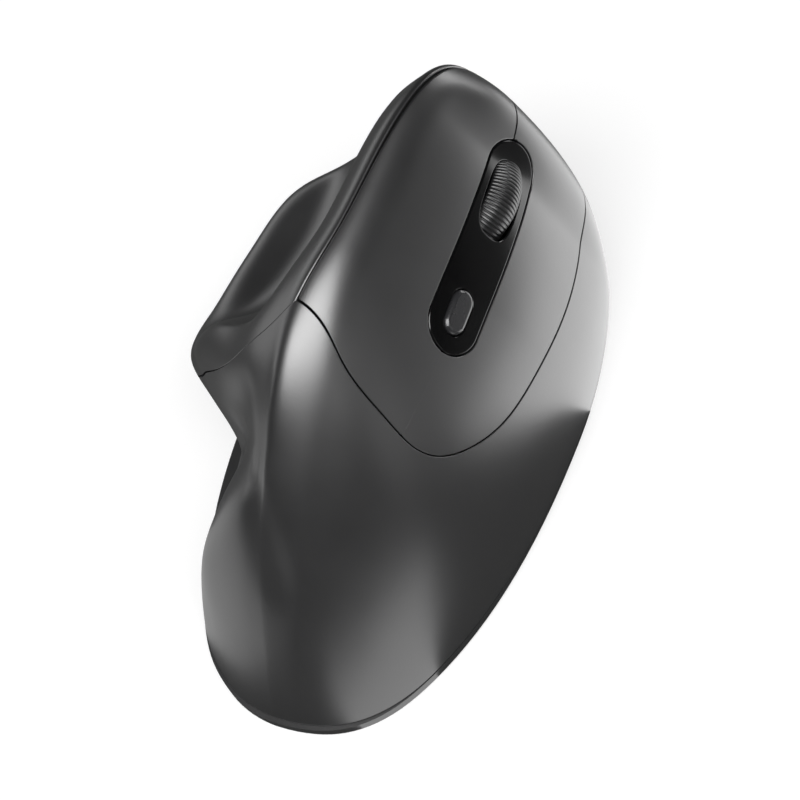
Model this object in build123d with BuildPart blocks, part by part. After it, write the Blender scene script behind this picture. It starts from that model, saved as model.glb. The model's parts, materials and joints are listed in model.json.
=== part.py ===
from build123d import *
import math
import os

import numpy as np

# An ergonomic right-hand mouse, in millimetres: +X to the right, +Y to the front, +Z up.
# The origin is on the desk, under the middle of the body.

# Overall form
HEIGHT = 63.0          # top of the ridge above the desk
CREST_Y = 6.6          # where the ridge is highest and the plan is widest
REAR_REACH = 68.5      # from the crest back to where the form's floor outline ends
FRONT_REACH = 48.5     # from the crest forward to where the form's floor outline ends
MIDDLE_X = 1.45        # middle of the base outline
HALF_RIGHT = 31.0      # base outline, middle to right
HALF_LEFT = 30.8       # base outline, middle to left
FORM_FLOOR = 10.0      # how far the form runs on below the desk before it is cut off
BODY_FORWARD = 0.95    # how far every piece is moved to put the origin under the middle of the box
REAR_PROFILE = 2.15    # how full the rear's side view is
FRONT_PROFILE = 6.5    # how square the front's side view is
FRONT_FULLNESS = 0.36
SLOPE_ANGLE = 52.0     # lean of the key face from the horizontal
WALL_LEAN = 20.0       # lean of the thumb wall from the vertical

# Shells
WALL = 1.8
SEAM_GAP = 0.3
FOOT_HEIGHT = 0.6
BASE_THICK = 1.8
BASE_INSET = 0.35
LIP_WALL = 1.2
LIP_HEIGHT = 2.6
CLEAR = 0.3            # running clearance between neighbours
KEY_REACH_DOWN = 17.0  # how far out of the slope's own level the keys' front faces end

# Strip, wheel and buttons on the key face
STRIP_FROM_RIDGE = 26.75
STRIP_WIDTH = 11.5
STRIP_REAR_Y = 0.3
STRIP_FRONT_Y = 41.6
STRIP_LEG_RADIUS = 0.8
STRIP_LEGS = [(2.6, 2.6), (4.6, 36.5)]  # (from the strip's middle, y), on both sides
WHEEL_Y = 30.2
WHEEL_RADIUS = 11.5
WHEEL_WIDTH = 6.6
WHEEL_PROUD = 1.9
WHEEL_SIDE_GAP = 0.6
WHEEL_END_GAP = 0.9
TYRE_THICK = 2.2
TYRE_RIBS = 48
RIB_DEPTH = 0.45
HUB_WEB = 2.4
AXLE_RADIUS = 1.25
ARM_THICK = 1.4
ARM_REACH = 2.75         # from the axle's middle to the arms' edges
ENCODER_THICK = 3.4
ENCODER_SIZE = 8.75
DPI_Y = 7.9
DPI_LENGTH = 8.2
DPI_WIDTH = 4.4
DPI_PROUD = 0.7
DPI_TRAVEL = 0.4
WHEEL_TRAVEL = 0.5
KEY_HINGE_Y = -8.0
KEY_ANGLE = 0.9        # degrees a key swings when it is pressed
KEY_SPLIT_FRONT = -2.4  # where the front seam between the keys starts, beside the strip's middle
KEY_SPLIT_TIP = -3.8    # and where it leaves the key face
KEY_SPLIT_TIP_Y = 47.0
KEY_POST_RADIUS = 1.7
KEY_BOSS_RADIUS = 1.5
PAST_RIDGE = 20.0      # how far the keys' block runs on to the left of the ridge
LEFT_POST_OFFSET = -11.0
RIGHT_POST_OFFSET = 14.0

# Buttons on the thumb wall
SIDE_BUTTON_LENGTH = 12.4
SIDE_BUTTON_HEIGHT = 5.0
SIDE_BUTTON_SPLIT_Y = 12.7
SIDE_BUTTON_LEVEL = 43.6
SIDE_BUTTON_PROUD = 0.5
SIDE_TRAVEL = 0.5
SIDE_BACK = 17.5        # the flat back of the buttons, along the wall's own direction
FLANGE = 0.9
FLANGE_THICK = 1.0

# Boards and switches
BOARD_THICK = 1.2
MICRO_LENGTH = 12.8
MICRO_WIDTH = 5.8
MICRO_HEIGHT = 5.8
MICRO_Y = 33.0
MICRO_LEFT = -9.6       # from the strip's middle
MICRO_RIGHT = 13.0
PLUNGER_AHEAD = 1.6     # from the switch's middle to its plunger
PLUNGER_RADIUS = 0.8
PLUNGER_RISE = 0.9
PLUNGER_DEPTH = 2.4
TACT_SIZE = 6.0
TACT_HEIGHT = 3.4
TACT_RISE = 0.8
TACT_BUTTON_RADIUS = 1.7
WHEEL_SWITCH_Y = 14.6
CLICK_BOARD_BELOW = 5.5  # from the wheel's centre down to the click board
CLICK_LEFT = -13.2      # the board's sides, from the strip's middle
CLICK_RIGHT = 17.6
CLICK_REAR_Y = 4.0
CLICK_FRONT_Y = 44.0
WHEEL_SLOT = 8.4
WHEEL_SLOT_REAR_Y = 18.0
WHEEL_SLOT_FRONT_Y = 42.6
CORNER_Y = 38.0         # where the left front corner of board and frame is cut back
CORNER_CUT = 8.0
FRAME_THICK = 1.6
FRAME_BORDER = 0.6
FRAME_REAR_Y = -12.0
WEB_LEFT_X = 3.0
WEB_RIGHT_X = 15.0
WEB_REAR_Y = 1.3
WEB_FRONT_Y = 44.2
BOSS_RADIUS = 2.5
FRAME_BOSS_X = 9.0
FRAME_BOSS_TOP = 10.0
SIDE_BOARD_REAR_Y = -4.5
SIDE_BOARD_FRONT_Y = 26.0
SIDE_BOARD_LOW = 37.7
SIDE_BOARD_HIGH = 49.6
SIDE_POST_RADIUS = 1.2
SIDE_POST_REAR_Y = -3.2
SIDE_POST_FRONT_LEVEL = 48.3

# Power
CELL_RADIUS = 7.25
CELL_LENGTH = 50.5
CELL_CAP_LENGTH = 1.2
CELL_CAP_RADIUS = 2.6
CELL_X = -6.5
CELL_Y = 1.0
CELL_PLAY = 0.4
CELL_RISE = 1.3         # from the base plate's top to the underside of the cell
CONTACT_ROOM = 1.35     # at each end of the cell
CONTACT_THICK = 0.4
CONTACT_WIDTH = 8.0
TRAY_WALL = 1.2
DOOR_THICK = 1.5
DOOR_GAP = 0.3
DOOR_PIN_RADIUS = 0.75
DOOR_BARREL_RADIUS = 1.4
DOOR_NOTCH_RADIUS = 3.0
KNOB_TRAVEL = 2.5
KNOB_LENGTH = 4.4
KNOB_WIDTH = 3.0
KNOB_PEG = 1.0
KNOB_PEG_RISE = 0.8     # how far the knob's peg reaches into the switch
KNOB_GROOVE = 0.5
KNOB_GROOVES = (-1.2, 0, 1.2)
POWER_WIDTH = 4.0
POWER_HEIGHT = 2.2
POWER_X = 13.0
POWER_Y = 34.0

# Sensor and main board
MAIN_BOARD_Z = 7.0
MAIN_BOARD_OUTLINE = [(4.4, 4.4), (24.5, 4.4), (24.5, 26.5), (19.5, 29.5), (19.5, 41.2), (4.4, 41.2)]
STANDOFFS = [(6.6, 6.8), (22.2, 6.8), (6.8, 38.6)]
STANDOFF_RADIUS = 2.0
SENSOR_X = 14.0
SENSOR_Y = 16.0
SENSOR_HOLE = 3.6
CHIP_LENGTH = 10.0
CHIP_WIDTH = 9.0
CHIP_HEIGHT = 2.6
LENS_LENGTH = 12.0
LENS_WIDTH = 14.0
LENS_FLANGE = 1.2
LENS_RADIUS = 3.0
RIBBON_Y = 25.5
RIBBON_WIDTH = 6.0
RIBBON_THICK = 0.3
RIBBON_ACROSS = 10.2    # from the strip's middle to where it meets the click board
RIBBON_SHIFT = 2.0      # how far its low end stands to the left of the high one

# Receiver and its pocket
RECEIVER_X = 2.5
RECEIVER_Y = -36.0
CAP_LENGTH = 14.4
CAP_DEPTH = 6.0
CAP_HEIGHT = 6.2
CAP_CORNER = 1.5
CAP_NOTCH = 1.6
CAP_NOTCH_DEPTH = 1.0
PLUG_LENGTH = 12.0
PLUG_DEPTH = 4.5
PLUG_HEIGHT = 12.0
PLUG_WALL = 0.4
PLUG_BACK = 2.0
POCKET_WALL = 1.0

# Screws and feet
SCREW_RADIUS = 0.8
SCREW_HEAD_RADIUS = 1.9
SCREW_HEAD = 1.0
SCREW_LENGTH = 6.5
SCREW_SLACK = 0.1
CROSS_LENGTH = 2.2
CROSS_WIDTH = 0.5
PALM_BOSSES = [(-15.0, -36.0, 60.0), (16.0, -34.0, 60.0), (25.2, 31.0, 12.0)]
THUMB_BOSSES = [(-20.0, -3.0, 12.0), (-12.0, 37.0, 60.0)]
FEET = [(1.4, 44.0, 22.0, 0), (1.4, -49.0, 22.0, 0), (25.6, 2.0, 22.0, 90), (-23.6, -16.0, 16.0, 90)]
FOOT_WIDTH = 5.0

# Lines of the form along the body: (y, value) with the x or (x, z) of a named edge
RIDGE_LINE = [(-66, 1.0), (-40, 0.0), (-20, -0.5), (-4, 0.0), (10, 1.6), (25, 2.2), (40, 3.5), (56, 6.0)]
LIP_LINE = [
    (-60, (-8, 20)), (-40, (-10, 22)), (-28, (-13, 23.5)), (-22, (-15.6, 24)), (-17.7, (-16.7, 24.3)),
    (-13.7, (-21.4, 24.5)), (-9.7, (-26.7, 24.5)), (-5.7, (-31.3, 24.5)), (-1.7, (-32.5, 25)),
    (4.3, (-31.9, 25)), (12.3, (-30.9, 25)), (20.3, (-29.7, 25)), (28.3, (-27.7, 25.5)),
    (33.3, (-24.6, 25.5)), (37.3, (-19.6, 26)), (41.3, (-15, 27)), (47.3, (-10, 27)), (56, (-1, 22)),
]
FOLD_LINE = [
    (-60, (-15, 8)), (-40, (-16.5, 8)), (-28, (-18, 9.5)), (-17, (-19.5, 11)), (-8, (-21, 12)),
    (4, (-22, 11.5)), (20, (-21, 11.5)), (34, (-17, 12)), (44, (-12, 12)), (56, (-1, 8)),
]
SCOOP_DEPTH = [
    (-66, 0), (-20, 0), (-8.7, -0.3), (-3.7, 1.0), (1.3, 6.0), (7.3, 9.0), (17.3, 10), (27.3, 9.0),
    (33.3, 6.5), (38.3, 2.5), (43.3, 0.5), (56, 0),
]
FACE_SHARE = [(-66, 0), (-40, 0.0), (-15, 0.4), (0, 0.8), (12, 1.0), (40, 1), (56, 1.0)]
BELLY = [(-66, 0), (0, -0.3), (15, -0.2), (30, 0.2), (42, 1.6), (56, 2.6)]

# Cross-sections, as shares of the way from the ridge out to the rim and up from the floor
DOME = [
    (0, 1), (.12, .993), (.27, .965), (.44, .90), (.62, .79), (.77, .65), (.88, .50), (.95, .36),
    (.985, .23), (1, .14), (1, 0),
]
FACE = [
    (0, 1), (.09, .985), (.22, .925), (.38, .83), (.56, .715), (.74, .59), (.88, .47), (.97, .36),
    (1.005, .25), (1, .14), (.97, 0),
]
NOSE = [
    (0, 1), (.1, .99), (.25, .965), (.42, .925), (.59, .86), (.77, .76), (.9, .64), (.98, .5),
    (1.01, .36), (1, .2), (1, 0),
]
HEEL_LEFT = [
    (.08, .995), (.19, .97), (.32, .925), (.46, .85), (.58, .76), (.68, .665), (.76, .575),
    (.82, .505), (.86, .455), (.905, .38), (.94, .31), (.97, .23), (1, .137), (1.01, .07), (1.01, 0),
]
# The thumb side from the ridge to the lip: share of the way, crown and scoop shares
THUMB_SIDE = [
    (.07, .33, 0), (.2, .75, .25), (.36, .98, .68), (.54, 1, .98), (.70, .84, 1.02), (.84, .55, .65),
    (.935, .25, .15),
]
CROWN_SHARE = 0.16

# The seam round the keys, on the key face: (distance from the ridge, y)
KEY_SEAM = [
    (0, -4.8), (4.5, -6.5), (11.3, -11.1), (17, -13.3), (23.7, -14.9), (30, -16.1), (35.1, -14.9),
    (40.5, -9.9), (44.7, -3.1), (46.6, 3.8), (47.7, 11), (48.9, 21), (48.8, 31.6), (47.3, 41.5),
    (45.8, 49),
]
FACE_START = -0.9      # from the ridge's top to where distances on the key face start
# Where the gap along the ridge runs: (y, distance to the right of the ridge's top)
RIDGE_GAP = [(-8, -1.2), (4, -0.2), (14, 0.0), (30, 0.6), (44, 1.0), (70, 1.0)]
# The seam behind the thumb panel, in plan: (distance from the ridge, y)
CREASE = [(0, -4.8), (-3.4, -8.2), (-9, -11.4), (-16, -12.2), (-24, -9.6), (-32, -6.6), (-48, -4)]


def along(knots, place):
    """The value at a place on a natural cubic spline through the knots."""
    t = np.array([knot[0] for knot in knots], float)
    p = np.array([np.atleast_1d(knot[1]) for knot in knots], float)
    h = np.diff(t)
    n = len(t)
    bend = np.eye(n)
    load = np.zeros_like(p)
    for i in range(1, n - 1):
        bend[i, i - 1:i + 2] = h[i - 1], 2 * (h[i - 1] + h[i]), h[i]
        load[i] = 6 * ((p[i + 1] - p[i]) / h[i] - (p[i] - p[i - 1]) / h[i - 1])
    c = np.linalg.solve(bend, load)
    at = np.atleast_1d(np.asarray(place, float))
    k = np.clip(np.searchsorted(t, at) - 1, 0, n - 2)
    b = ((at - t[k]) / h[k])[:, None]
    a = 1 - b
    curve = ((a**3 - a) * c[k] + (b**3 - b) * c[k + 1]) * (h[k]**2)[:, None] / 6
    return a * p[k] + b * p[k + 1] + curve


def ease(y, start, end):
    """0 before start, 1 after end, and a smooth step between."""
    t = min(1.0, max(0.0, (y - start) / (end - start)))
    return t * t * (3 - 2 * t)


def ridge_x(y):
    return float(along(RIDGE_LINE, y)[0, 0])


def ridge_z(y):
    if y < CREST_Y:
        share = 1 - ((CREST_Y - y) / REAR_REACH) ** REAR_PROFILE
    else:
        share = max(0.0, 1 - ((y - CREST_Y) / FRONT_REACH) ** FRONT_PROFILE) ** FRONT_FULLNESS
    return (HEIGHT + FORM_FLOOR) * share - FORM_FLOOR


def plan_share(y):
    if y < CREST_Y:
        inside = 1 - ((CREST_Y - y) / REAR_REACH) ** 2.2
    else:
        inside = 1 - ((y - CREST_Y) / FRONT_REACH) ** 2.3
    return max(1e-4, inside) ** (1 / 2.1)


def section_knots(y, hollow):
    """The cross-section's named points, from the floor at the right over the ridge to the left."""
    top_x, top_z = ridge_x(y), ridge_z(y)
    right = MIDDLE_X + HALF_RIGHT * plan_share(y)
    left = MIDDLE_X - HALF_LEFT * plan_share(y)
    face = min(1.0, max(0.0, float(along(FACE_SHARE, y)[0, 0])))
    nose = ease(y, 35.3, 49.3)
    belly = float(along(BELLY, y)[0, 0])
    rise = top_z + FORM_FLOOR
    knots = []
    for i, (dome, slant, blunt) in enumerate(zip(DOME, FACE, NOSE)):
        flat = [s + (n - s) * nose for s, n in zip(slant, blunt)]
        out, up = [d + (f - d) * face for d, f in zip(dome, flat)]
        push = belly * math.exp(-((i - 7.5) / 2) ** 2)
        knots.insert(0, np.array([top_x + out * (right - top_x) + push, up * rise - FORM_FLOOR]))
    lip, fold = along(LIP_LINE, y)[0], along(FOLD_LINE, y)[0]
    depth = float(along(SCOOP_DEPTH, y)[0, 0])
    ridge = np.array([top_x, top_z])
    chord = lip - ridge
    length = float(np.linalg.norm(chord))
    inward = np.array([-chord[1], chord[0]]) / length
    crown = CROWN_SHARE * length * (1 - 0.55 * face)
    thumb = [ridge + chord * f - inward * crown * c + inward * depth * d for f, c, d in THUMB_SIDE]
    thumb.append(lip)
    thumb.append(0.86 * lip + 0.14 * fold + np.array([-0.9, -0.4]) * min(1, depth / 4 + 0.3))
    thumb.append((lip + fold) / 2)
    thumb.append(fold)
    thumb.append(0.45 * fold + 0.55 * np.array([left, 0]) + np.array([0.6, -1.0]))
    thumb.append(np.array([left, 0]))
    thumb.append(np.array([left - 0.5, -FORM_FLOOR / 2]))
    thumb.append(np.array([left - 0.5, -FORM_FLOOR]))
    if hollow:
        # the wing stays solid: behind the scoop the hollow runs straight down to the fold
        for k in range(4, 10):
            thumb[k] = thumb[3] + (fold - thumb[3]) * (k - 3) / 7
    winged = ease(y, -44.7, -16.7) * (1 - ease(y, 41.3, 53.3))
    for (out, up), point in zip(HEEL_LEFT, thumb):
        plain = np.array([top_x + out * (left - top_x), up * rise - FORM_FLOOR])
        knots.append(plain + (point - plain) * winged)
    return knots


def knot_places():
    """Where the section's knots lie along it, the same for every section."""
    knots = np.array(section_knots(14.3, False))
    steps = np.linalg.norm(np.diff(knots, axis=0), axis=1)
    return np.concatenate([[0], np.cumsum(steps)]) / steps.sum()


PLACES = knot_places()
SECTION_POINTS = 30
FINE_POINTS = 100


def section(y, inset=0.0, count=SECTION_POINTS):
    """Points of the cross-section at y, moved inwards by inset."""
    hollow = inset > 0
    source_y = y
    if hollow:
        reach = REAR_REACH if y < CREST_Y else FRONT_REACH
        source_y = CREST_Y + (y - CREST_Y) * reach / (reach - inset)
    knots = list(zip(PLACES, section_knots(source_y, hollow)))
    fine = along(knots, np.linspace(0, 1, 4 * count + 1))
    if hollow:
        run = np.gradient(fine, axis=0)
        run /= np.linalg.norm(run, axis=1, keepdims=True)
        fine = fine + inset * np.column_stack([-run[:, 1], run[:, 0]])
    return fine[::4]


# Turns from the crest to the sections, in degrees: closer at the scoop's rear and the blunt front
REAR_TURNS = [79, 70, 60, 50, 40, 30, 22, 15, 10, 5]
FRONT_TURNS = [0, 10, 20, 30, 40, 50, 58, 65, 71, 76, 80, 84]
HOLLOW_REAR_TURN = 72
HOLLOW_FRONT_TURN = 64


def stations(inset=0.0):
    """Places of the sections along the body; the hollow stops short of both ends."""
    rear, front = REAR_TURNS, FRONT_TURNS
    if inset:
        rear = [turn for turn in REAR_TURNS if turn < HOLLOW_REAR_TURN]
        front = [turn for turn in FRONT_TURNS if turn < HOLLOW_FRONT_TURN] + [HOLLOW_FRONT_TURN]
    back = [CREST_Y - (REAR_REACH - inset) * math.sin(math.radians(turn)) for turn in rear]
    ahead = [CREST_Y + (FRONT_REACH - inset) * math.sin(math.radians(turn)) for turn in front]
    return back + ahead


# Directions: the key face, and the thumb wall
slope_turn = math.radians(SLOPE_ANGLE)
slope = Plane((0, 0, 0), x_dir=(math.cos(slope_turn), 0, -math.sin(slope_turn)),
              z_dir=(math.sin(slope_turn), 0, math.cos(slope_turn)))
wall_turn = math.radians(WALL_LEAN)
wall = Plane((0, 0, 0), x_dir=(0, -1, 0), z_dir=(-math.cos(wall_turn), 0, math.sin(wall_turn)))


def on_slope(x, z):
    """Across and out of the key face, for a point at x and z."""
    across = x * math.cos(slope_turn) - z * math.sin(slope_turn)
    return across, x * math.sin(slope_turn) + z * math.cos(slope_turn)


def skin_depth(across, y, inset=0.0):
    """How far out of the slope plane the skin lies at a place on the key face."""
    points = section(y, inset, FINE_POINTS)
    top = int(np.argmax(points[:, 1]))
    face = sorted(on_slope(x, z) for x, z in points[:top + 1])
    return float(np.interp(across, [p[0] for p in face], [p[1] for p in face]))


def under_face(across, y, reach):
    """The lowest level of the key face's underside within reach of a place on it."""
    around = [(a, b) for a in (-reach, 0, reach) for b in (-reach, 0, reach)]
    return min(skin_depth(across + a, y + b, WALL) for a, b in around)


def gap_x(y):
    """Where the gap along the ridge lies, in plan."""
    return ridge_x(y) + float(along(RIDGE_GAP, y)[0, 0])


FACE_LEFT = on_slope(ridge_x(CREST_Y) + FACE_START, ridge_z(CREST_Y))[0]
STRIP_ACROSS = FACE_LEFT + STRIP_FROM_RIDGE

# Levels that follow from the sizes above
BASE_TOP = FOOT_HEIGHT + BASE_THICK
SHELL_FLOOR = BASE_TOP + SEAM_GAP
WHEEL_OUT = skin_depth(STRIP_ACROSS, WHEEL_Y) + WHEEL_PROUD - WHEEL_RADIUS
CLICK_TOP = WHEEL_OUT - CLICK_BOARD_BELOW
FRAME_TOP = CLICK_TOP - BOARD_THICK
FRAME_BOTTOM = FRAME_TOP - FRAME_THICK
MICRO_TOP = CLICK_TOP + MICRO_HEIGHT
TACT_TOP = CLICK_TOP + TACT_HEIGHT + TACT_RISE
PLUNGER_Y = MICRO_Y + PLUNGER_AHEAD
KEY_DROP = CLEAR + (CREST_Y + FRONT_REACH - KEY_HINGE_Y) * math.sin(math.radians(KEY_ANGLE))
SIDE_BOARD_TOP = SIDE_BACK - SIDE_TRAVEL - SCREW_SLACK - TACT_HEIGHT - TACT_RISE
CELL_Z = BASE_TOP + CELL_RISE + CELL_RADIUS
TRAY_INNER = CELL_RADIUS + CELL_PLAY
BAY_REAR_Y = CELL_Y - CELL_LENGTH / 2 - CONTACT_ROOM
BAY_FRONT_Y = CELL_Y + CELL_LENGTH / 2 + CONTACT_ROOM
DOOR_PIN_Y = BAY_REAR_Y + DOOR_GAP + DOOR_BARREL_RADIUS
DOOR_PIN_Z = FOOT_HEIGHT + DOOR_BARREL_RADIUS
FAR = 120.0            # well past the body on every side


def save(shape, name):
    """Move a finished piece to its place over the origin, label it and write it to its own file."""
    placed = Location((0, BODY_FORWARD, 0)) * shape
    placed.label = name
    export_step(placed, f"parts/{name}.step")


os.makedirs("parts", exist_ok=True)


# The form, and the shell between it and the hollow inside
def form(inset):
    """The closed body through all its sections, moved inwards by inset."""
    with BuildPart() as body:
        for y in stations(inset):
            with BuildSketch(Plane.XZ.offset(-y)):
                with BuildLine():
                    edge = Spline(*[tuple(point) for point in section(y, inset)])
                    Line(edge @ 1, edge @ 0)
                make_face()
        loft()
    return body.part


outer = form(0.0)
with BuildPart() as shell:
    add(outer)
    add(form(WALL), mode=Mode.SUBTRACT)
    with Locations((0, 0, SHELL_FLOOR)):
        Box(2 * FAR, 2 * FAR, FAR, align=(Align.CENTER, Align.CENTER, Align.MIN), mode=Mode.INTERSECT)


# The blocks that part the shell: along the ridge and the crease, and round the keys
def ridge_points(shift, start_y):
    """Plan points of the gap along the ridge, from its rear end to well past the front."""
    return [(gap_x(y) + shift, y) for y in (start_y, 4, 14, 22, 30, 38, 46, 56, FAR)]


def thumb_block(grow):
    """Everything left of the ridge and in front of the crease, its edges moved out by grow."""
    crease = np.array([(gap_x(CREASE[0][1]) + across, y) for across, y in CREASE])
    run = np.gradient(crease, axis=0)
    run /= np.linalg.norm(run, axis=1, keepdims=True)
    crease = crease + grow * np.column_stack([-run[:, 1], run[:, 0]])
    crease[0] = gap_x(CREASE[0][1]) + grow, CREASE[0][1]
    with BuildPart() as block:
        with BuildSketch(Plane.XY):
            with BuildLine():
                rear = Spline(*[tuple(point) for point in crease])
                ridge = Spline(*ridge_points(grow, CREASE[0][1]))
                Polyline(rear @ 1, (-FAR, (rear @ 1).Y), (-FAR, FAR), ridge @ 1)
            make_face()
        extrude(amount=FAR)
    return block.part


def key_block(grow, drop):
    """Everything inside the seam round the keys, its edge moved out by grow and its floor down by drop."""
    steps = np.linspace(0, len(KEY_SEAM) - 1, 2 * len(KEY_SEAM) - 1)
    seam = along(list(enumerate(KEY_SEAM)), steps)
    run = np.gradient(seam, axis=0)
    run /= np.linalg.norm(run, axis=1, keepdims=True)
    seam = seam + grow * np.column_stack([run[:, 1], -run[:, 0]])
    with BuildPart() as block:
        with BuildSketch(slope.offset(KEY_REACH_DOWN - drop)):
            with BuildLine():
                edge = Spline(*[(FACE_LEFT + across, y) for across, y in seam])
                left, right = edge @ 0, edge @ 1
                Polyline(right, (right.X, FAR), (left.X - PAST_RIDGE, FAR),
                         (left.X - PAST_RIDGE, left.Y + PAST_RIDGE / 3), left)
            make_face()
        extrude(amount=FAR)
    return block.part


def capsule(plane, width, rear_y, front_y, low, high):
    """A round-ended bar along Y, standing on a plane that leans like the key face."""
    with BuildPart() as bar:
        with BuildSketch(plane.offset(low)):
            with Locations((STRIP_ACROSS, (rear_y + front_y) / 2)):
                SlotOverall(front_y - rear_y, width, rotation=90)
        extrude(amount=high - low)
    return bar.part


def column(plane, across, y, radius, low, high=FAR):
    """A round post on a plane, cut off by the form's own skin."""
    with BuildPart() as post:
        with BuildSketch(plane.offset(low)):
            with Locations((across, y)):
                Circle(radius)
        extrude(amount=high - low)
        add(outer, mode=Mode.INTERSECT)
    return post.part


# The thumb panel: its top edge stands back as far as the left key swings under it
def key_swing(y):
    """How far to the left the key's edge moves at y, with the running clearance."""
    return CLEAR + max(0.0, y - KEY_HINGE_Y) * math.sin(math.radians(KEY_ANGLE)) * math.sin(slope_turn)


with BuildPart() as ridge_relief:
    with BuildSketch(slope.offset(KEY_REACH_DOWN - KEY_DROP)):
        with BuildLine():
            edge_points = [(on_slope(gap_x(y), ridge_z(y))[0] - SEAM_GAP, y)
                           for y in (CREASE[0][1] + SEAM_GAP, 4, 14, 22, 30, 38, 42)]
            lean = Spline(*edge_points)
            Polyline(lean @ 1, (edge_points[-1][0], FAR), (0, FAR), (0, edge_points[0][1]), lean @ 0)
        make_face()
    extrude(amount=FAR)
    with BuildSketch(Plane.XY):
        with BuildLine():
            stand_back = Spline(*[(x - key_swing(y), y) for x, y in ridge_points(0, CREASE[0][1])])
            Polyline(stand_back @ 1, (FAR, FAR), (FAR, (stand_back @ 0).Y), stand_back @ 0)
        make_face()
    extrude(amount=FAR, mode=Mode.INTERSECT)

button_ys = {
    "back": SIDE_BUTTON_SPLIT_Y - SIDE_BUTTON_LENGTH / 2,
    "forward": SIDE_BUTTON_SPLIT_Y + SIDE_BUTTON_LENGTH / 2 + SEAM_GAP,
}


def side_outline(y, grow, low, high):
    """A block with a thumb button's outline, across the thumb wall."""
    with BuildPart() as block:
        with BuildSketch(wall.offset(low)):
            with Locations((-y, SIDE_BUTTON_LEVEL)):
                RectangleRounded(SIDE_BUTTON_LENGTH + 2 * grow, SIDE_BUTTON_HEIGHT + 2 * grow,
                                 SIDE_BUTTON_HEIGHT / 3)
        extrude(amount=high - low)
    return block.part


SIDE_POSTS = [(SIDE_POST_REAR_Y, SIDE_BOARD_LOW + 4 * SIDE_POST_RADIUS),
              (SIDE_POST_REAR_Y, SIDE_BOARD_HIGH - 1.5 * SIDE_POST_RADIUS),
              (SIDE_BUTTON_SPLIT_Y, SIDE_POST_FRONT_LEVEL)]
with BuildPart() as thumb_panel:
    add(shell.part)
    add(thumb_block(0.0), mode=Mode.INTERSECT)
    add(ridge_relief.part, mode=Mode.SUBTRACT)
    for y in button_ys.values():
        add(side_outline(y, SEAM_GAP, SIDE_BACK - SIDE_TRAVEL, 2 * SIDE_BACK), mode=Mode.SUBTRACT)
    for y, level in SIDE_POSTS:
        add(column(wall, -y, level, SIDE_POST_RADIUS, SIDE_BOARD_TOP))
    for x, y, top in THUMB_BOSSES:
        add(column(Plane.XY, x, y, BOSS_RADIUS, BASE_TOP, top))
    with Locations([(x, y, BASE_TOP) for x, y, top in THUMB_BOSSES]):
        Cylinder(SCREW_RADIUS + SCREW_SLACK, 2 * SCREW_LENGTH, mode=Mode.SUBTRACT)
save(thumb_panel.part, "thumb_panel")

# The palm shell: dome, right flank and lower front
with BuildPart() as palm_shell:
    add(shell.part)
    add(thumb_block(SEAM_GAP), mode=Mode.SUBTRACT)
    add(key_block(SEAM_GAP, KEY_DROP), mode=Mode.SUBTRACT)
    for x, y, top in PALM_BOSSES:
        add(column(Plane.XY, x, y, BOSS_RADIUS, BASE_TOP, top))
    with Locations([(x, y, BASE_TOP) for x, y, top in PALM_BOSSES]):
        Cylinder(SCREW_RADIUS + SCREW_SLACK, 2 * SCREW_LENGTH, mode=Mode.SUBTRACT)
save(palm_shell.part, "palm_shell")

# The two keys, parted by the strip and by the fine seams in front of it and behind it
with BuildPart() as between_keys:
    add(capsule(slope, STRIP_WIDTH, STRIP_REAR_Y, STRIP_FRONT_Y, 0, FAR))
    with BuildSketch(slope):
        with BuildLine():
            Polyline((STRIP_ACROSS, -FAR / 2), (STRIP_ACROSS, STRIP_FRONT_Y - STRIP_WIDTH / 2),
                     (STRIP_ACROSS + KEY_SPLIT_FRONT, STRIP_FRONT_Y),
                     (STRIP_ACROSS + KEY_SPLIT_TIP, KEY_SPLIT_TIP_Y), (STRIP_ACROSS + KEY_SPLIT_TIP, FAR))
            offset(amount=SEAM_GAP / 2, kind=Kind.INTERSECTION)
        make_face()
    extrude(amount=FAR)
with BuildPart() as keys:
    add(shell.part)
    add(key_block(0.0, 0.0), mode=Mode.INTERSECT)
    add(thumb_block(SEAM_GAP), mode=Mode.SUBTRACT)
    add(between_keys.part, mode=Mode.SUBTRACT)
blanks = sorted(keys.part.solids(), key=lambda solid: solid.volume)[-2:]
blanks.sort(key=lambda solid: on_slope(solid.center().X, solid.center().Z)[0])
key_parts = (("left_key", blanks[0], MICRO_LEFT), ("right_key", blanks[1], MICRO_RIGHT))
for name, blank, offset_across in key_parts:
    with BuildPart() as key:
        add(blank)
        add(column(slope, STRIP_ACROSS + offset_across, PLUNGER_Y, KEY_BOSS_RADIUS,
                   MICRO_TOP + PLUNGER_RISE + CLEAR))
    save(key.part, name)

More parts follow.
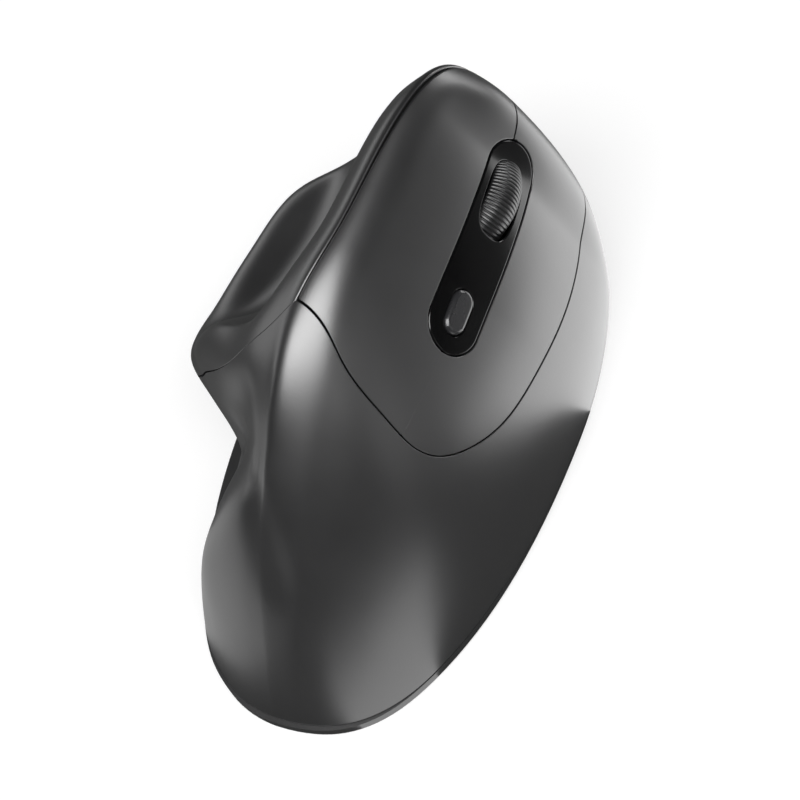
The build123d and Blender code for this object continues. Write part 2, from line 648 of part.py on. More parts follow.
# The glossy strip, with its holes for the wheel and the button behind it, and four legs
wheel_plane = Plane(slope.from_local_coords((STRIP_ACROSS, WHEEL_Y, WHEEL_OUT)),
                    x_dir=(0, 1, 0), z_dir=slope.x_dir)
with BuildPart() as wheel_hole:
    with BuildSketch(wheel_plane):
        Circle(WHEEL_RADIUS + WHEEL_END_GAP)
    extrude(amount=WHEEL_WIDTH / 2 + WHEEL_SIDE_GAP, both=True)
with BuildPart() as wheel_strip:
    add(shell.part)
    add(capsule(slope, STRIP_WIDTH - 2 * SEAM_GAP, STRIP_REAR_Y + SEAM_GAP, STRIP_FRONT_Y - SEAM_GAP,
                CLICK_TOP, FAR), mode=Mode.INTERSECT)
    add(wheel_hole.part, mode=Mode.SUBTRACT)
    add(capsule(slope, DPI_WIDTH + 2 * SEAM_GAP, DPI_Y - DPI_LENGTH / 2 - SEAM_GAP,
                DPI_Y + DPI_LENGTH / 2 + SEAM_GAP, 0, FAR), mode=Mode.SUBTRACT)
    for (across, y), low in zip(STRIP_LEGS, (FRAME_TOP, CLICK_TOP)):
        add(column(slope, STRIP_ACROSS - across, y, STRIP_LEG_RADIUS, low))
        add(column(slope, STRIP_ACROSS + across, y, STRIP_LEG_RADIUS, low))
save(wheel_strip.part, "wheel_strip")

# The small button behind the wheel, with a flange under the strip and a stem to its switch
dpi_under = under_face(STRIP_ACROSS, DPI_Y, DPI_LENGTH / 2)
with BuildPart() as dpi_button:
    add(Location(slope.z_dir * DPI_PROUD) * outer)
    add(capsule(slope, DPI_WIDTH, DPI_Y - DPI_LENGTH / 2, DPI_Y + DPI_LENGTH / 2,
                dpi_under - CLEAR - FLANGE_THICK, FAR), mode=Mode.INTERSECT)
    add(capsule(slope, DPI_WIDTH + 2 * FLANGE, DPI_Y - DPI_LENGTH / 2 - FLANGE,
                DPI_Y + DPI_LENGTH / 2 + FLANGE, dpi_under - CLEAR - FLANGE_THICK, dpi_under - CLEAR))
    with BuildSketch(slope.offset(TACT_TOP + DPI_TRAVEL + SCREW_SLACK)):
        with Locations((STRIP_ACROSS, DPI_Y)):
            Circle(TACT_BUTTON_RADIUS)
    extrude(until=Until.NEXT)
save(dpi_button.part, "dpi_button")

# The thumb buttons: curved like the wall, flat behind, with a flange inside the panel
for name, y in button_ys.items():
    with BuildPart() as side_button:
        add(Location(wall.z_dir * SIDE_BUTTON_PROUD) * outer)
        add(side_outline(y, 0, SIDE_BACK, 2 * SIDE_BACK), mode=Mode.INTERSECT)
    save(side_button.part, f"{name}_button")


# The base plate: the form's outline just above the desk, a lip inside the shells, and its openings
def rim(level, inset):
    """The form's outline at a level, moved inwards by inset."""
    share = (level + FORM_FLOOR) / (HEIGHT + FORM_FLOOR)
    rear = CREST_Y - REAR_REACH * (1 - share) ** (1 / REAR_PROFILE)
    front = CREST_Y + FRONT_REACH * (1 - share ** (1 / FRONT_FULLNESS)) ** (1 / FRONT_PROFILE)
    right, left = [], []
    for turn in np.linspace(-90, 90, 25)[1:-1]:
        y = rear + (front - rear) * (1 + math.sin(math.radians(turn))) / 2
        points = section(y, 0.0, FINE_POINTS)
        top = int(np.argmax(points[:, 1]))
        right.append((float(np.interp(level, points[:top + 1, 1], points[:top + 1, 0])), y))
        falling = points[top:][::-1]
        left.append((float(np.interp(level, falling[:, 1], falling[:, 0])), y))
    loop = np.array([(ridge_x(rear), rear)] + right + [(ridge_x(front), front)] + left[::-1])
    run = np.roll(loop, -1, axis=0) - np.roll(loop, 1, axis=0)
    run /= np.linalg.norm(run, axis=1, keepdims=True)
    return loop + inset * np.column_stack([-run[:, 1], run[:, 0]])


def rim_block(level, inset, low, high):
    """An upright block with the form's outline."""
    with BuildPart() as block:
        with BuildSketch(Plane.XY.offset(low)):
            with BuildLine():
                Spline(*[tuple(point) for point in rim(level, inset)], periodic=True)
            make_face()
        extrude(amount=high - low)
    return block.part


ALL_BOSSES = PALM_BOSSES + THUMB_BOSSES
FRAME_BOSSES = [(FRAME_BOSS_X, WEB_REAR_Y), (FRAME_BOSS_X, WEB_FRONT_Y)]
SCREW_SPOTS = [(x, y) for x, y, top in ALL_BOSSES] + FRAME_BOSSES
bay_middle_y = (BAY_REAR_Y + BAY_FRONT_Y) / 2
bay_length = BAY_FRONT_Y - BAY_REAR_Y
pocket_length = CAP_LENGTH + 2 * CLEAR
pocket_depth = CAP_DEPTH + 2 * CLEAR
pocket_height = CAP_HEIGHT + PLUG_HEIGHT + 2 * CLEAR
SCREW_HEAD_Z = FOOT_HEIGHT + SCREW_SLACK
with BuildPart() as pin_groove:
    with BuildSketch(Plane.YZ.offset(CELL_X - TRAY_INNER - TRAY_WALL)):
        with Locations((DOOR_PIN_Y, DOOR_PIN_Z)):
            Circle(DOOR_PIN_RADIUS + SCREW_SLACK / 2)
    extrude(amount=2 * (TRAY_INNER + TRAY_WALL))
with BuildPart() as lip:
    add(form(WALL + CLEAR))
    add(rim_block(BASE_TOP + LIP_HEIGHT, WALL + CLEAR + LIP_WALL, 0, FAR), mode=Mode.SUBTRACT)
    with Locations((0, 0, BASE_TOP)):
        Box(2 * FAR, 2 * FAR, LIP_HEIGHT, align=(Align.CENTER, Align.CENTER, Align.MIN), mode=Mode.INTERSECT)
with BuildPart() as base_plate:
    add(rim_block(FOOT_HEIGHT, BASE_INSET, FOOT_HEIGHT, BASE_TOP))
    add(lip.part)
    with Locations([(x, y, BASE_TOP) for x, y in SCREW_SPOTS]):
        Cylinder(BOSS_RADIUS + CLEAR, LIP_HEIGHT, align=(Align.CENTER, Align.CENTER, Align.MIN),
                 mode=Mode.SUBTRACT)
    with Locations([(x, y, BASE_TOP) for x, y in STANDOFFS]):
        Cylinder(STANDOFF_RADIUS, MAIN_BOARD_Z - BASE_TOP, align=(Align.CENTER, Align.CENTER, Align.MIN))
        Cylinder(SCREW_RADIUS + SCREW_SLACK, MAIN_BOARD_Z, align=(Align.CENTER, Align.CENTER, Align.MIN),
                 mode=Mode.SUBTRACT)
    with Locations((RECEIVER_X, RECEIVER_Y, FOOT_HEIGHT)):
        Box(pocket_length + 2 * POCKET_WALL, pocket_depth + 2 * POCKET_WALL, pocket_height + POCKET_WALL,
            align=(Align.CENTER, Align.CENTER, Align.MIN))
        Box(pocket_length, pocket_depth, pocket_height, align=(Align.CENTER, Align.CENTER, Align.MIN),
            mode=Mode.SUBTRACT)
    with Locations((CELL_X, bay_middle_y, FOOT_HEIGHT)):
        Box(2 * TRAY_INNER, bay_length, 2 * BASE_THICK, mode=Mode.SUBTRACT)
    with Locations((SENSOR_X, SENSOR_Y, FOOT_HEIGHT)):
        Cylinder(SENSOR_HOLE, 2 * BASE_THICK, mode=Mode.SUBTRACT)
    with Locations((POWER_X, POWER_Y, FOOT_HEIGHT)):
        Box(KNOB_WIDTH + 2 * CLEAR, KNOB_LENGTH + KNOB_TRAVEL + 2 * CLEAR, 2 * BASE_THICK, mode=Mode.SUBTRACT)
    with Locations([(x, y, FOOT_HEIGHT) for x, y in SCREW_SPOTS]):
        Cylinder(SCREW_RADIUS + SCREW_SLACK, 2 * BASE_THICK, mode=Mode.SUBTRACT)
        Cylinder(SCREW_HEAD_RADIUS + SCREW_SLACK, 2 * (SCREW_HEAD + SCREW_SLACK), mode=Mode.SUBTRACT)
    add(pin_groove.part, mode=Mode.SUBTRACT)
save(base_plate.part, "base_plate")

# The feet that it glides on
with BuildPart() as glide_feet:
    for x, y, length, turn in FEET:
        with BuildSketch(Plane.XY):
            with Locations((x, y)):
                SlotOverall(length, FOOT_WIDTH, rotation=turn)
        extrude(amount=FOOT_HEIGHT)
save(glide_feet.part, "glide_feet")


def screw(x, y, head_z, length, upward):
    """A pan-head screw with a cross in its head; the head is at head_z and the shank runs on from it."""
    toward = 1 if upward else -1
    with BuildPart() as piece:
        with BuildSketch(Plane.XY.offset(head_z)):
            with Locations((x, y)):
                Circle(SCREW_HEAD_RADIUS)
        extrude(amount=toward * SCREW_HEAD)
        with BuildSketch(Plane.XY.offset(head_z + toward * SCREW_HEAD)):
            with Locations((x, y)):
                Circle(SCREW_RADIUS)
        extrude(amount=toward * length)
        with BuildSketch(Plane.XY.offset(head_z)):
            with Locations((x, y)):
                Rectangle(CROSS_WIDTH, CROSS_LENGTH)
                Rectangle(CROSS_LENGTH, CROSS_WIDTH)
        extrude(amount=toward * SCREW_HEAD / 2, mode=Mode.SUBTRACT)
    return piece.part


def screws(spots, head_z, length, upward, name):
    """A group of equal screws in one file."""
    save(Compound(children=[screw(x, y, head_z, length, upward) for x, y in spots]), name)


screws([(x, y) for x, y, top in ALL_BOSSES], SCREW_HEAD_Z, SCREW_LENGTH, True, "case_screws")
screws(FRAME_BOSSES, SCREW_HEAD_Z, SCREW_LENGTH, True, "frame_screws")
screws(STANDOFFS, MAIN_BOARD_Z + BOARD_THICK + SCREW_HEAD, MAIN_BOARD_Z - BASE_TOP + CLEAR, False,
       "board_screws")

# Battery, tray, contacts, and the door with its pin
with BuildPart() as battery:
    with BuildSketch(Plane.XZ.offset(-(CELL_Y - CELL_LENGTH / 2))):
        with Locations((CELL_X, CELL_Z)):
            Circle(CELL_RADIUS)
    extrude(amount=-(CELL_LENGTH - CELL_CAP_LENGTH))
    with BuildSketch(Plane.XZ.offset(-(CELL_Y + CELL_LENGTH / 2))):
        with Locations((CELL_X, CELL_Z)):
            Circle(CELL_CAP_RADIUS)
    extrude(amount=CELL_CAP_LENGTH)
save(battery.part, "battery")
with BuildPart() as battery_tray:
    for half, y0, y1, mode in (
            (TRAY_INNER + TRAY_WALL, BAY_REAR_Y - TRAY_WALL, BAY_FRONT_Y + TRAY_WALL, Mode.ADD),
            (TRAY_INNER, BAY_REAR_Y, BAY_FRONT_Y, Mode.SUBTRACT)):
        with BuildSketch(Plane.XZ.offset(-y0)):
            with Locations((CELL_X, CELL_Z)):
                Circle(half)
                Rectangle(2 * half, CELL_Z - BASE_TOP, align=(Align.CENTER, Align.MAX))
            with Locations((CELL_X, BASE_TOP)):
                Rectangle(2 * FAR, FAR, align=(Align.CENTER, Align.MIN), mode=Mode.INTERSECT)
        extrude(amount=y0 - y1, mode=mode)
    add(pin_groove.part, mode=Mode.SUBTRACT)
save(battery_tray.part, "battery_tray")
for name, end, toward in (("plus", BAY_FRONT_Y, -1), ("minus", BAY_REAR_Y, 1)):
    with BuildPart() as contact:
        with BuildSketch(Plane.XZ.offset(-end)):
            with Locations((CELL_X, CELL_Z)):
                RectangleRounded(CONTACT_WIDTH, CONTACT_WIDTH, CONTACT_WIDTH / 5)
        extrude(amount=-toward * CONTACT_THICK)
        with BuildSketch(Plane.XZ.offset(-end)):
            with Locations((CELL_X, CELL_Z)):
                Circle(CONTACT_WIDTH / 4)
        extrude(amount=-toward * CONTACT_ROOM)
    save(contact.part, f"battery_contact_{name}")
door_width = 2 * (TRAY_INNER - DOOR_GAP)
with BuildPart() as battery_door:
    with BuildSketch(Plane.YZ.offset(CELL_X - door_width / 2)):
        with Locations((DOOR_PIN_Y, DOOR_PIN_Z)):
            Circle(DOOR_BARREL_RADIUS)
        with BuildLine():
            Polyline((DOOR_PIN_Y, FOOT_HEIGHT), (BAY_FRONT_Y - DOOR_GAP, FOOT_HEIGHT),
                     (BAY_FRONT_Y - DOOR_GAP, FOOT_HEIGHT + DOOR_THICK),
                     (DOOR_PIN_Y, FOOT_HEIGHT + DOOR_THICK), close=True)
        make_face()
        with Locations((DOOR_PIN_Y, DOOR_PIN_Z)):
            Circle(DOOR_PIN_RADIUS + SCREW_SLACK, mode=Mode.SUBTRACT)
    extrude(amount=door_width)
    with BuildSketch(Plane.XY.offset(FOOT_HEIGHT)):
        with Locations((CELL_X, BAY_FRONT_Y - DOOR_GAP)):
            Circle(DOOR_NOTCH_RADIUS)
    extrude(amount=DOOR_THICK / 2, mode=Mode.SUBTRACT)
save(battery_door.part, "battery_door")
with BuildPart() as door_pin:
    with BuildSketch(Plane.YZ.offset(CELL_X - TRAY_INNER - TRAY_WALL + CLEAR)):
        with Locations((DOOR_PIN_Y, DOOR_PIN_Z)):
            Circle(DOOR_PIN_RADIUS)
    extrude(amount=2 * (TRAY_INNER + TRAY_WALL - CLEAR))
save(door_pin.part, "door_pin")

# The receiver stored upright in its pocket: metal plug above, cap at the opening
cap_z = FOOT_HEIGHT + SCREW_SLACK
with BuildPart() as receiver_cap:
    with BuildSketch(Plane.XY.offset(cap_z)):
        with Locations((RECEIVER_X, RECEIVER_Y)):
            RectangleRounded(CAP_LENGTH, CAP_DEPTH, CAP_CORNER)
    extrude(amount=CAP_HEIGHT)
    with BuildSketch(Plane.XY.offset(cap_z)):
        with Locations((RECEIVER_X, RECEIVER_Y)):
            SlotOverall(CAP_LENGTH * 0.7, CAP_NOTCH)
    extrude(amount=CAP_NOTCH_DEPTH, mode=Mode.SUBTRACT)
save(receiver_cap.part, "receiver_cap")
with BuildPart() as receiver_plug:
    with BuildSketch(Plane.XY.offset(cap_z + CAP_HEIGHT)):
        with Locations((RECEIVER_X, RECEIVER_Y)):
            Rectangle(PLUG_LENGTH, PLUG_DEPTH)
    extrude(amount=PLUG_HEIGHT)
    with BuildSketch(Plane.XY.offset(cap_z + CAP_HEIGHT + PLUG_HEIGHT)):
        with Locations((RECEIVER_X, RECEIVER_Y - PLUG_DEPTH / 4)):
            Rectangle(PLUG_LENGTH - 2 * PLUG_WALL, PLUG_DEPTH / 2 - PLUG_WALL)
    extrude(amount=-PLUG_HEIGHT + PLUG_BACK, mode=Mode.SUBTRACT)
save(receiver_plug.part, "receiver_plug")


# The sloped frame and the click board on it, both cut back for the wheel and at the left front corner
def deck(low, thick, border, rear_y):
    """A plate that leans like the key face, with the wheel's slot."""
    left, right = STRIP_ACROSS + CLICK_LEFT - border, STRIP_ACROSS + CLICK_RIGHT + border
    front_y = CLICK_FRONT_Y + border
    with BuildPart() as plate:
        with BuildSketch(slope.offset(low)):
            with BuildLine():
                Polyline((left, rear_y), (right, rear_y), (right, front_y), (left + CORNER_CUT, front_y),
                         (left, CORNER_Y), close=True)
            make_face()
            with Locations((STRIP_ACROSS, (WHEEL_SLOT_REAR_Y + WHEEL_SLOT_FRONT_Y) / 2)):
                Rectangle(WHEEL_SLOT, WHEEL_SLOT_FRONT_Y - WHEEL_SLOT_REAR_Y, mode=Mode.SUBTRACT)
        extrude(amount=thick)
    return plate.part


with BuildPart() as click_board:
    add(deck(FRAME_TOP, BOARD_THICK, 0, CLICK_REAR_Y))
save(click_board.part, "click_board")
with BuildPart() as inner_frame:
    add(deck(FRAME_BOTTOM, FRAME_THICK, FRAME_BORDER, FRAME_REAR_Y))
    for web_y in (WEB_REAR_Y, WEB_FRONT_Y):
        with BuildSketch(Plane.XZ.offset(-web_y)):
            with BuildLine():
                tops = [(FRAME_BOTTOM + FRAME_THICK / 2 - x * math.sin(slope_turn)) / math.cos(slope_turn)
                        for x in (WEB_RIGHT_X, WEB_LEFT_X)]
                Polyline((WEB_LEFT_X, BASE_TOP), (WEB_RIGHT_X, BASE_TOP), (WEB_RIGHT_X, tops[0]),
                         (WEB_LEFT_X, tops[1]), close=True)
            make_face()
        extrude(amount=FRAME_THICK / 2, both=True)
    with Locations([(x, y, BASE_TOP) for x, y in FRAME_BOSSES]):
        Cylinder(BOSS_RADIUS, FRAME_BOSS_TOP, align=(Align.CENTER, Align.CENTER, Align.MIN))
        Cylinder(SCREW_RADIUS + SCREW_SLACK, 2 * SCREW_LENGTH, mode=Mode.SUBTRACT)
    for across in (STRIP_ACROSS + LEFT_POST_OFFSET, STRIP_ACROSS + RIGHT_POST_OFFSET):
        with BuildSketch(slope.offset(FRAME_TOP)):
            with Locations((across, KEY_HINGE_Y)):
                Circle(KEY_POST_RADIUS)
        extrude(amount=under_face(across, KEY_HINGE_Y, KEY_POST_RADIUS) - CLEAR - FRAME_TOP)
    with BuildSketch(slope.offset(FRAME_BOTTOM)):
        with Locations((STRIP_ACROSS + RIBBON_ACROSS, RIBBON_Y)):
            Rectangle(3 * BOARD_THICK, RIBBON_WIDTH + 4 * CLEAR)
    extrude(amount=FRAME_THICK, mode=Mode.SUBTRACT)
save(inner_frame.part, "inner_frame")


# Switches
def block_on(plane, across, y, width, length, low, high):
    """A block standing on a plane."""
    with BuildPart() as piece:
        with BuildSketch(plane.offset(low)):
            with Locations((across, y)):
                Rectangle(width, length)
        extrude(amount=high - low)
    return piece.part


for name, offset_across in (("left", MICRO_LEFT), ("right", MICRO_RIGHT)):
    across = STRIP_ACROSS + offset_across
    with BuildPart() as switch:
        add(block_on(slope, across, MICRO_Y, MICRO_WIDTH, MICRO_LENGTH, CLICK_TOP, MICRO_TOP))
        with BuildSketch(slope.offset(MICRO_TOP)):
            with Locations((across, PLUNGER_Y)):
                Circle(PLUNGER_RADIUS + SCREW_SLACK)
        extrude(amount=-PLUNGER_DEPTH - PLUNGER_RISE, mode=Mode.SUBTRACT)
    save(switch.part, f"{name}_switch")
    with BuildPart() as plunger:
        with BuildSketch(slope.offset(MICRO_TOP - PLUNGER_DEPTH)):
            with Locations((across, PLUNGER_Y)):
                Circle(PLUNGER_RADIUS)
        extrude(amount=PLUNGER_DEPTH + PLUNGER_RISE)
    save(plunger.part, f"{name}_plunger")


def tact_switch(plane, across, y, low):
    """A small square switch with a round button."""
    with BuildPart() as piece:
        add(block_on(plane, across, y, TACT_SIZE, TACT_SIZE, low, low + TACT_HEIGHT))
        with BuildSketch(plane.offset(low + TACT_HEIGHT)):
            with Locations((across, y)):
                Circle(TACT_BUTTON_RADIUS)
        extrude(amount=TACT_RISE)
    return piece.part


save(tact_switch(slope, STRIP_ACROSS, DPI_Y, CLICK_TOP), "dpi_switch")
save(tact_switch(slope, STRIP_ACROSS, WHEEL_SWITCH_Y, CLICK_TOP), "wheel_switch")
for name, y in button_ys.items():
    save(tact_switch(wall, -y, SIDE_BUTTON_LEVEL, SIDE_BOARD_TOP), f"{name}_switch")
side_board_y = (SIDE_BOARD_REAR_Y + SIDE_BOARD_FRONT_Y) / 2
side_board_level = (SIDE_BOARD_LOW + SIDE_BOARD_HIGH) / 2
save(block_on(wall, -side_board_y, side_board_level, SIDE_BOARD_FRONT_Y - SIDE_BOARD_REAR_Y,
              SIDE_BOARD_HIGH - SIDE_BOARD_LOW, SIDE_BOARD_TOP - BOARD_THICK, SIDE_BOARD_TOP), "side_board")

# The wheel: hub, ribbed tyre and axle, in a cradle that also holds the encoder
rim_radius = WHEEL_RADIUS - TYRE_THICK
with BuildPart() as wheel_hub:
    with BuildSketch(wheel_plane):
        Circle(rim_radius)
        Circle(AXLE_RADIUS, mode=Mode.SUBTRACT)
    extrude(amount=WHEEL_WIDTH / 2, both=True)
    for side in (1, -1):
        with BuildSketch(wheel_plane.offset(side * HUB_WEB / 2)):
            Circle(rim_radius - WALL)
            Circle(AXLE_RADIUS + WALL, mode=Mode.SUBTRACT)
        extrude(amount=side * WHEEL_WIDTH, mode=Mode.SUBTRACT)
save(wheel_hub.part, "wheel_hub")
with BuildPart() as wheel_tyre:
    with BuildSketch(wheel_plane):
        Circle(WHEEL_RADIUS)
        with PolarLocations(WHEEL_RADIUS, TYRE_RIBS):
            Circle(RIB_DEPTH, mode=Mode.SUBTRACT)
        Circle(rim_radius, mode=Mode.SUBTRACT)
    extrude(amount=WHEEL_WIDTH / 2, both=True)
save(wheel_tyre.part, "wheel_tyre")
arm_inner = WHEEL_WIDTH / 2 + WHEEL_SIDE_GAP
arm_outer = arm_inner + ARM_THICK
arm_rear_y, bar_front_y = WHEEL_SWITCH_Y - TACT_SIZE / 2, WHEEL_Y - WHEEL_RADIUS - WHEEL_END_GAP
arm_front_y = WHEEL_Y + ARM_REACH
bar_low = TACT_TOP + WHEEL_TRAVEL + SCREW_SLACK
with BuildPart() as wheel_cradle:
    for side in (-1, 1):
        add(block_on(slope, STRIP_ACROSS + side * (arm_inner + arm_outer) / 2, (arm_rear_y + arm_front_y) / 2,
                     ARM_THICK, arm_front_y - arm_rear_y, WHEEL_OUT - ARM_REACH, WHEEL_OUT + ARM_REACH))
    add(block_on(slope, STRIP_ACROSS, (arm_rear_y + bar_front_y) / 2, 2 * arm_outer, bar_front_y - arm_rear_y,
                 bar_low, bar_low + FRAME_THICK))
    with BuildSketch(wheel_plane):
        Circle(AXLE_RADIUS + SCREW_SLACK)
    extrude(amount=2 * arm_outer, both=True, mode=Mode.SUBTRACT)
save(wheel_cradle.part, "wheel_cradle")
with BuildPart() as wheel_encoder:
    add(block_on(slope, STRIP_ACROSS + arm_outer + ENCODER_THICK / 2, WHEEL_Y, ENCODER_THICK,
                 ENCODER_SIZE, WHEEL_OUT - ENCODER_SIZE / 2, WHEEL_OUT + ENCODER_SIZE / 2))
    with BuildSketch(wheel_plane):
        Circle(AXLE_RADIUS + SCREW_SLACK)
    extrude(amount=2 * (arm_outer + ENCODER_THICK), both=True, mode=Mode.SUBTRACT)
save(wheel_encoder.part, "wheel_encoder")
with BuildPart() as wheel_axle:
    with BuildSketch(wheel_plane.offset(-arm_outer - CLEAR)):
        Circle(AXLE_RADIUS)
    extrude(amount=2 * arm_outer + ENCODER_THICK)
save(wheel_axle.part, "wheel_axle")

# Main board with the sensor, its lens, the power switch and the knob that moves it
with BuildPart() as main_board:
    with BuildSketch(Plane.XY.offset(MAIN_BOARD_Z)):
        with BuildLine():
            Polyline(*MAIN_BOARD_OUTLINE, close=True)
        make_face()
        with Locations((SENSOR_X, SENSOR_Y)):
            Circle(LENS_RADIUS + CLEAR, mode=Mode.SUBTRACT)
        with Locations(*STANDOFFS):
            Circle(SCREW_RADIUS + SCREW_SLACK, mode=Mode.SUBTRACT)
    extrude(amount=BOARD_THICK)
save(main_board.part, "main_board")
with BuildPart() as sensor_chip:
    with Locations((SENSOR_X, SENSOR_Y, MAIN_BOARD_Z + BOARD_THICK)):
        Box(CHIP_WIDTH, CHIP_LENGTH, CHIP_HEIGHT, align=(Align.CENTER, Align.CENTER, Align.MIN))
save(sensor_chip.part, "sensor_chip")
with BuildPart() as sensor_lens:
    with Locations((SENSOR_X, SENSOR_Y, BASE_TOP)):
        Box(LENS_WIDTH, LENS_LENGTH, LENS_FLANGE, align=(Align.CENTER, Align.CENTER, Align.MIN))
        Cylinder(LENS_RADIUS, MAIN_BOARD_Z + BOARD_THICK - BASE_TOP - CLEAR,
                 align=(Align.CENTER, Align.CENTER, Align.MIN))
save(sensor_lens.part, "sensor_lens")
knob_y = POWER_Y - KNOB_TRAVEL / 2
switch_low = MAIN_BOARD_Z - POWER_HEIGHT
with BuildPart() as power_switch:
    with Locations((POWER_X, POWER_Y, MAIN_BOARD_Z)):
        Box(POWER_WIDTH, KNOB_LENGTH + KNOB_TRAVEL, POWER_HEIGHT,
            align=(Align.CENTER, Align.CENTER, Align.MAX))
    with Locations((POWER_X, POWER_Y, switch_low)):
        Box(KNOB_PEG + 2 * CLEAR, KNOB_PEG + 2 * CLEAR + KNOB_TRAVEL, 2 * KNOB_PEG_RISE + 2 * CLEAR,
            mode=Mode.SUBTRACT)
save(power_switch.part, "power_switch")
with BuildPart() as power_knob:
    with Locations((POWER_X, knob_y, FOOT_HEIGHT + CLEAR)):
        Box(KNOB_WIDTH, KNOB_LENGTH, BASE_THICK, align=(Align.CENTER, Align.CENTER, Align.MIN))
    with Locations((POWER_X, knob_y, BASE_TOP + SCREW_SLACK)):
        Box(KNOB_WIDTH + 2 * FLANGE, KNOB_LENGTH + 2 * FLANGE, KNOB_PEG_RISE,
            align=(Align.CENTER, Align.CENTER, Align.MIN))
        Box(KNOB_PEG, KNOB_PEG, switch_low - BASE_TOP + KNOB_PEG_RISE,
            align=(Align.CENTER, Align.CENTER, Align.MIN))
    with Locations([(POWER_X, knob_y + step, FOOT_HEIGHT + CLEAR) for step in KNOB_GROOVES]):
        Box(KNOB_WIDTH, KNOB_GROOVE, 2 * KNOB_GROOVE, mode=Mode.SUBTRACT)
save(power_knob.part, "power_knob")

# The flat lead between the boards
ribbon_top = slope.from_local_coords((STRIP_ACROSS + RIBBON_ACROSS, 0, FRAME_TOP - SCREW_SLACK / 2))
with BuildPart() as ribbon:
    with BuildSketch(Plane.XZ.offset(-(RIBBON_Y + RIBBON_WIDTH / 2))):
        with BuildLine():
            low_end = (ribbon_top.X - RIBBON_SHIFT, MAIN_BOARD_Z + BOARD_THICK)
            Spline(low_end, (ribbon_top.X, ribbon_top.Z), tangents=[(0, 1), (slope.z_dir.X, slope.z_dir.Z)])
        trace(line_width=RIBBON_THICK)
    extrude(amount=RIBBON_WIDTH)
save(ribbon.part, "ribbon")
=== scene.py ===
"""Looks of a right-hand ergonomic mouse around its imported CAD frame.

The pieces are placed in the frame's own coordinates: +X right, +Y front, +Z up, in metres. The form's
own tables and the skin's geometry are worked out in millimetres and scaled when a mesh is made.
"""

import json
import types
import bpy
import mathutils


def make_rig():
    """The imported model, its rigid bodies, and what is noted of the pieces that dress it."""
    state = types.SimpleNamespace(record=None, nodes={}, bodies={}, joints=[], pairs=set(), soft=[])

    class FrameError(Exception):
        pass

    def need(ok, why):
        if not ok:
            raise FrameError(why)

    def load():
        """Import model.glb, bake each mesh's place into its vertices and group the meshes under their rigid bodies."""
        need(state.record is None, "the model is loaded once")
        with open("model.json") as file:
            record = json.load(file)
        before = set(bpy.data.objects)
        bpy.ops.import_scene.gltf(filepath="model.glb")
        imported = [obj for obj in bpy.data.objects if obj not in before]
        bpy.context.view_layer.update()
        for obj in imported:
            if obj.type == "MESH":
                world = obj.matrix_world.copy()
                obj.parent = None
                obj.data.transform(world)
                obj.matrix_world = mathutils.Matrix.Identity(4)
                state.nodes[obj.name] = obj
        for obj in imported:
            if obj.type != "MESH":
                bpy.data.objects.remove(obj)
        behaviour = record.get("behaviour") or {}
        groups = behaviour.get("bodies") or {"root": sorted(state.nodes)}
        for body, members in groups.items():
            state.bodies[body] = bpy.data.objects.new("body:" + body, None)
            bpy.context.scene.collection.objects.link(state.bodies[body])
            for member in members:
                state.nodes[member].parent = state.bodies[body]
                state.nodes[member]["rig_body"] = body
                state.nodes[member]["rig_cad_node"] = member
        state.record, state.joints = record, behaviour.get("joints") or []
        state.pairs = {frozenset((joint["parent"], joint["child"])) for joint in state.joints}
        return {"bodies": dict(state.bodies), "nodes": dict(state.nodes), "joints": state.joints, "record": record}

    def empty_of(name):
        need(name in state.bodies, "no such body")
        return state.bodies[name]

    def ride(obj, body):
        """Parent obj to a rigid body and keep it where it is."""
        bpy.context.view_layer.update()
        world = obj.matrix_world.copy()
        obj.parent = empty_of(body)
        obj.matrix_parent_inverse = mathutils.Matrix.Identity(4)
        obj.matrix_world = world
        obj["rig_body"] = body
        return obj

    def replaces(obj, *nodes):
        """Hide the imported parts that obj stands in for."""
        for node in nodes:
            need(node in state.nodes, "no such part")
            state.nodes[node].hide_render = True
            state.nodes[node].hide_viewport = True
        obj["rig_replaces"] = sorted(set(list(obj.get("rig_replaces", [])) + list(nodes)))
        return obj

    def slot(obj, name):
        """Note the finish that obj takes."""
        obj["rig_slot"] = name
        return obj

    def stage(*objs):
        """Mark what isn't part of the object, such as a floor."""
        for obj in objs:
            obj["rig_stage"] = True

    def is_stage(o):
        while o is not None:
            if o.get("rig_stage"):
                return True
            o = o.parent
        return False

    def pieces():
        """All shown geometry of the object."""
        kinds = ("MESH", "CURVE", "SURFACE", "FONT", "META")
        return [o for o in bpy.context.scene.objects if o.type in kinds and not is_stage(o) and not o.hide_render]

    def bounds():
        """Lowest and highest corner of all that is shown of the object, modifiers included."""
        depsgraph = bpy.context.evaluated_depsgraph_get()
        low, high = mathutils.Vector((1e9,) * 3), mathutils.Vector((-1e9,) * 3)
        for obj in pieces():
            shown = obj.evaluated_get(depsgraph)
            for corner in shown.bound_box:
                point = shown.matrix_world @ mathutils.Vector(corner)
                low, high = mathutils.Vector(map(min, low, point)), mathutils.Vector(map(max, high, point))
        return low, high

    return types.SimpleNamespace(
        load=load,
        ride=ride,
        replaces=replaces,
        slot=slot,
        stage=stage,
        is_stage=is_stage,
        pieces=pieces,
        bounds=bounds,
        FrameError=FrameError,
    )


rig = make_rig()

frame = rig.load()

import json
import logging
import math
from dataclasses import dataclass, field
from enum import Enum
from typing import Callable, Iterable

import bmesh
import bpy
import numpy as np
from mathutils import Matrix, Vector

cad_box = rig.bounds()
log = logging.getLogger("mouse")

Array = np.ndarray
Distance = Callable[[Array], Array]
Piece = bpy.types.Object
Socket = bpy.types.NodeSocket
Tree = bpy.types.NodeTree
MM = 0.001
FAR = 120.0
BODY_FORWARD = np.array([0.0, 0.95, 0.0])


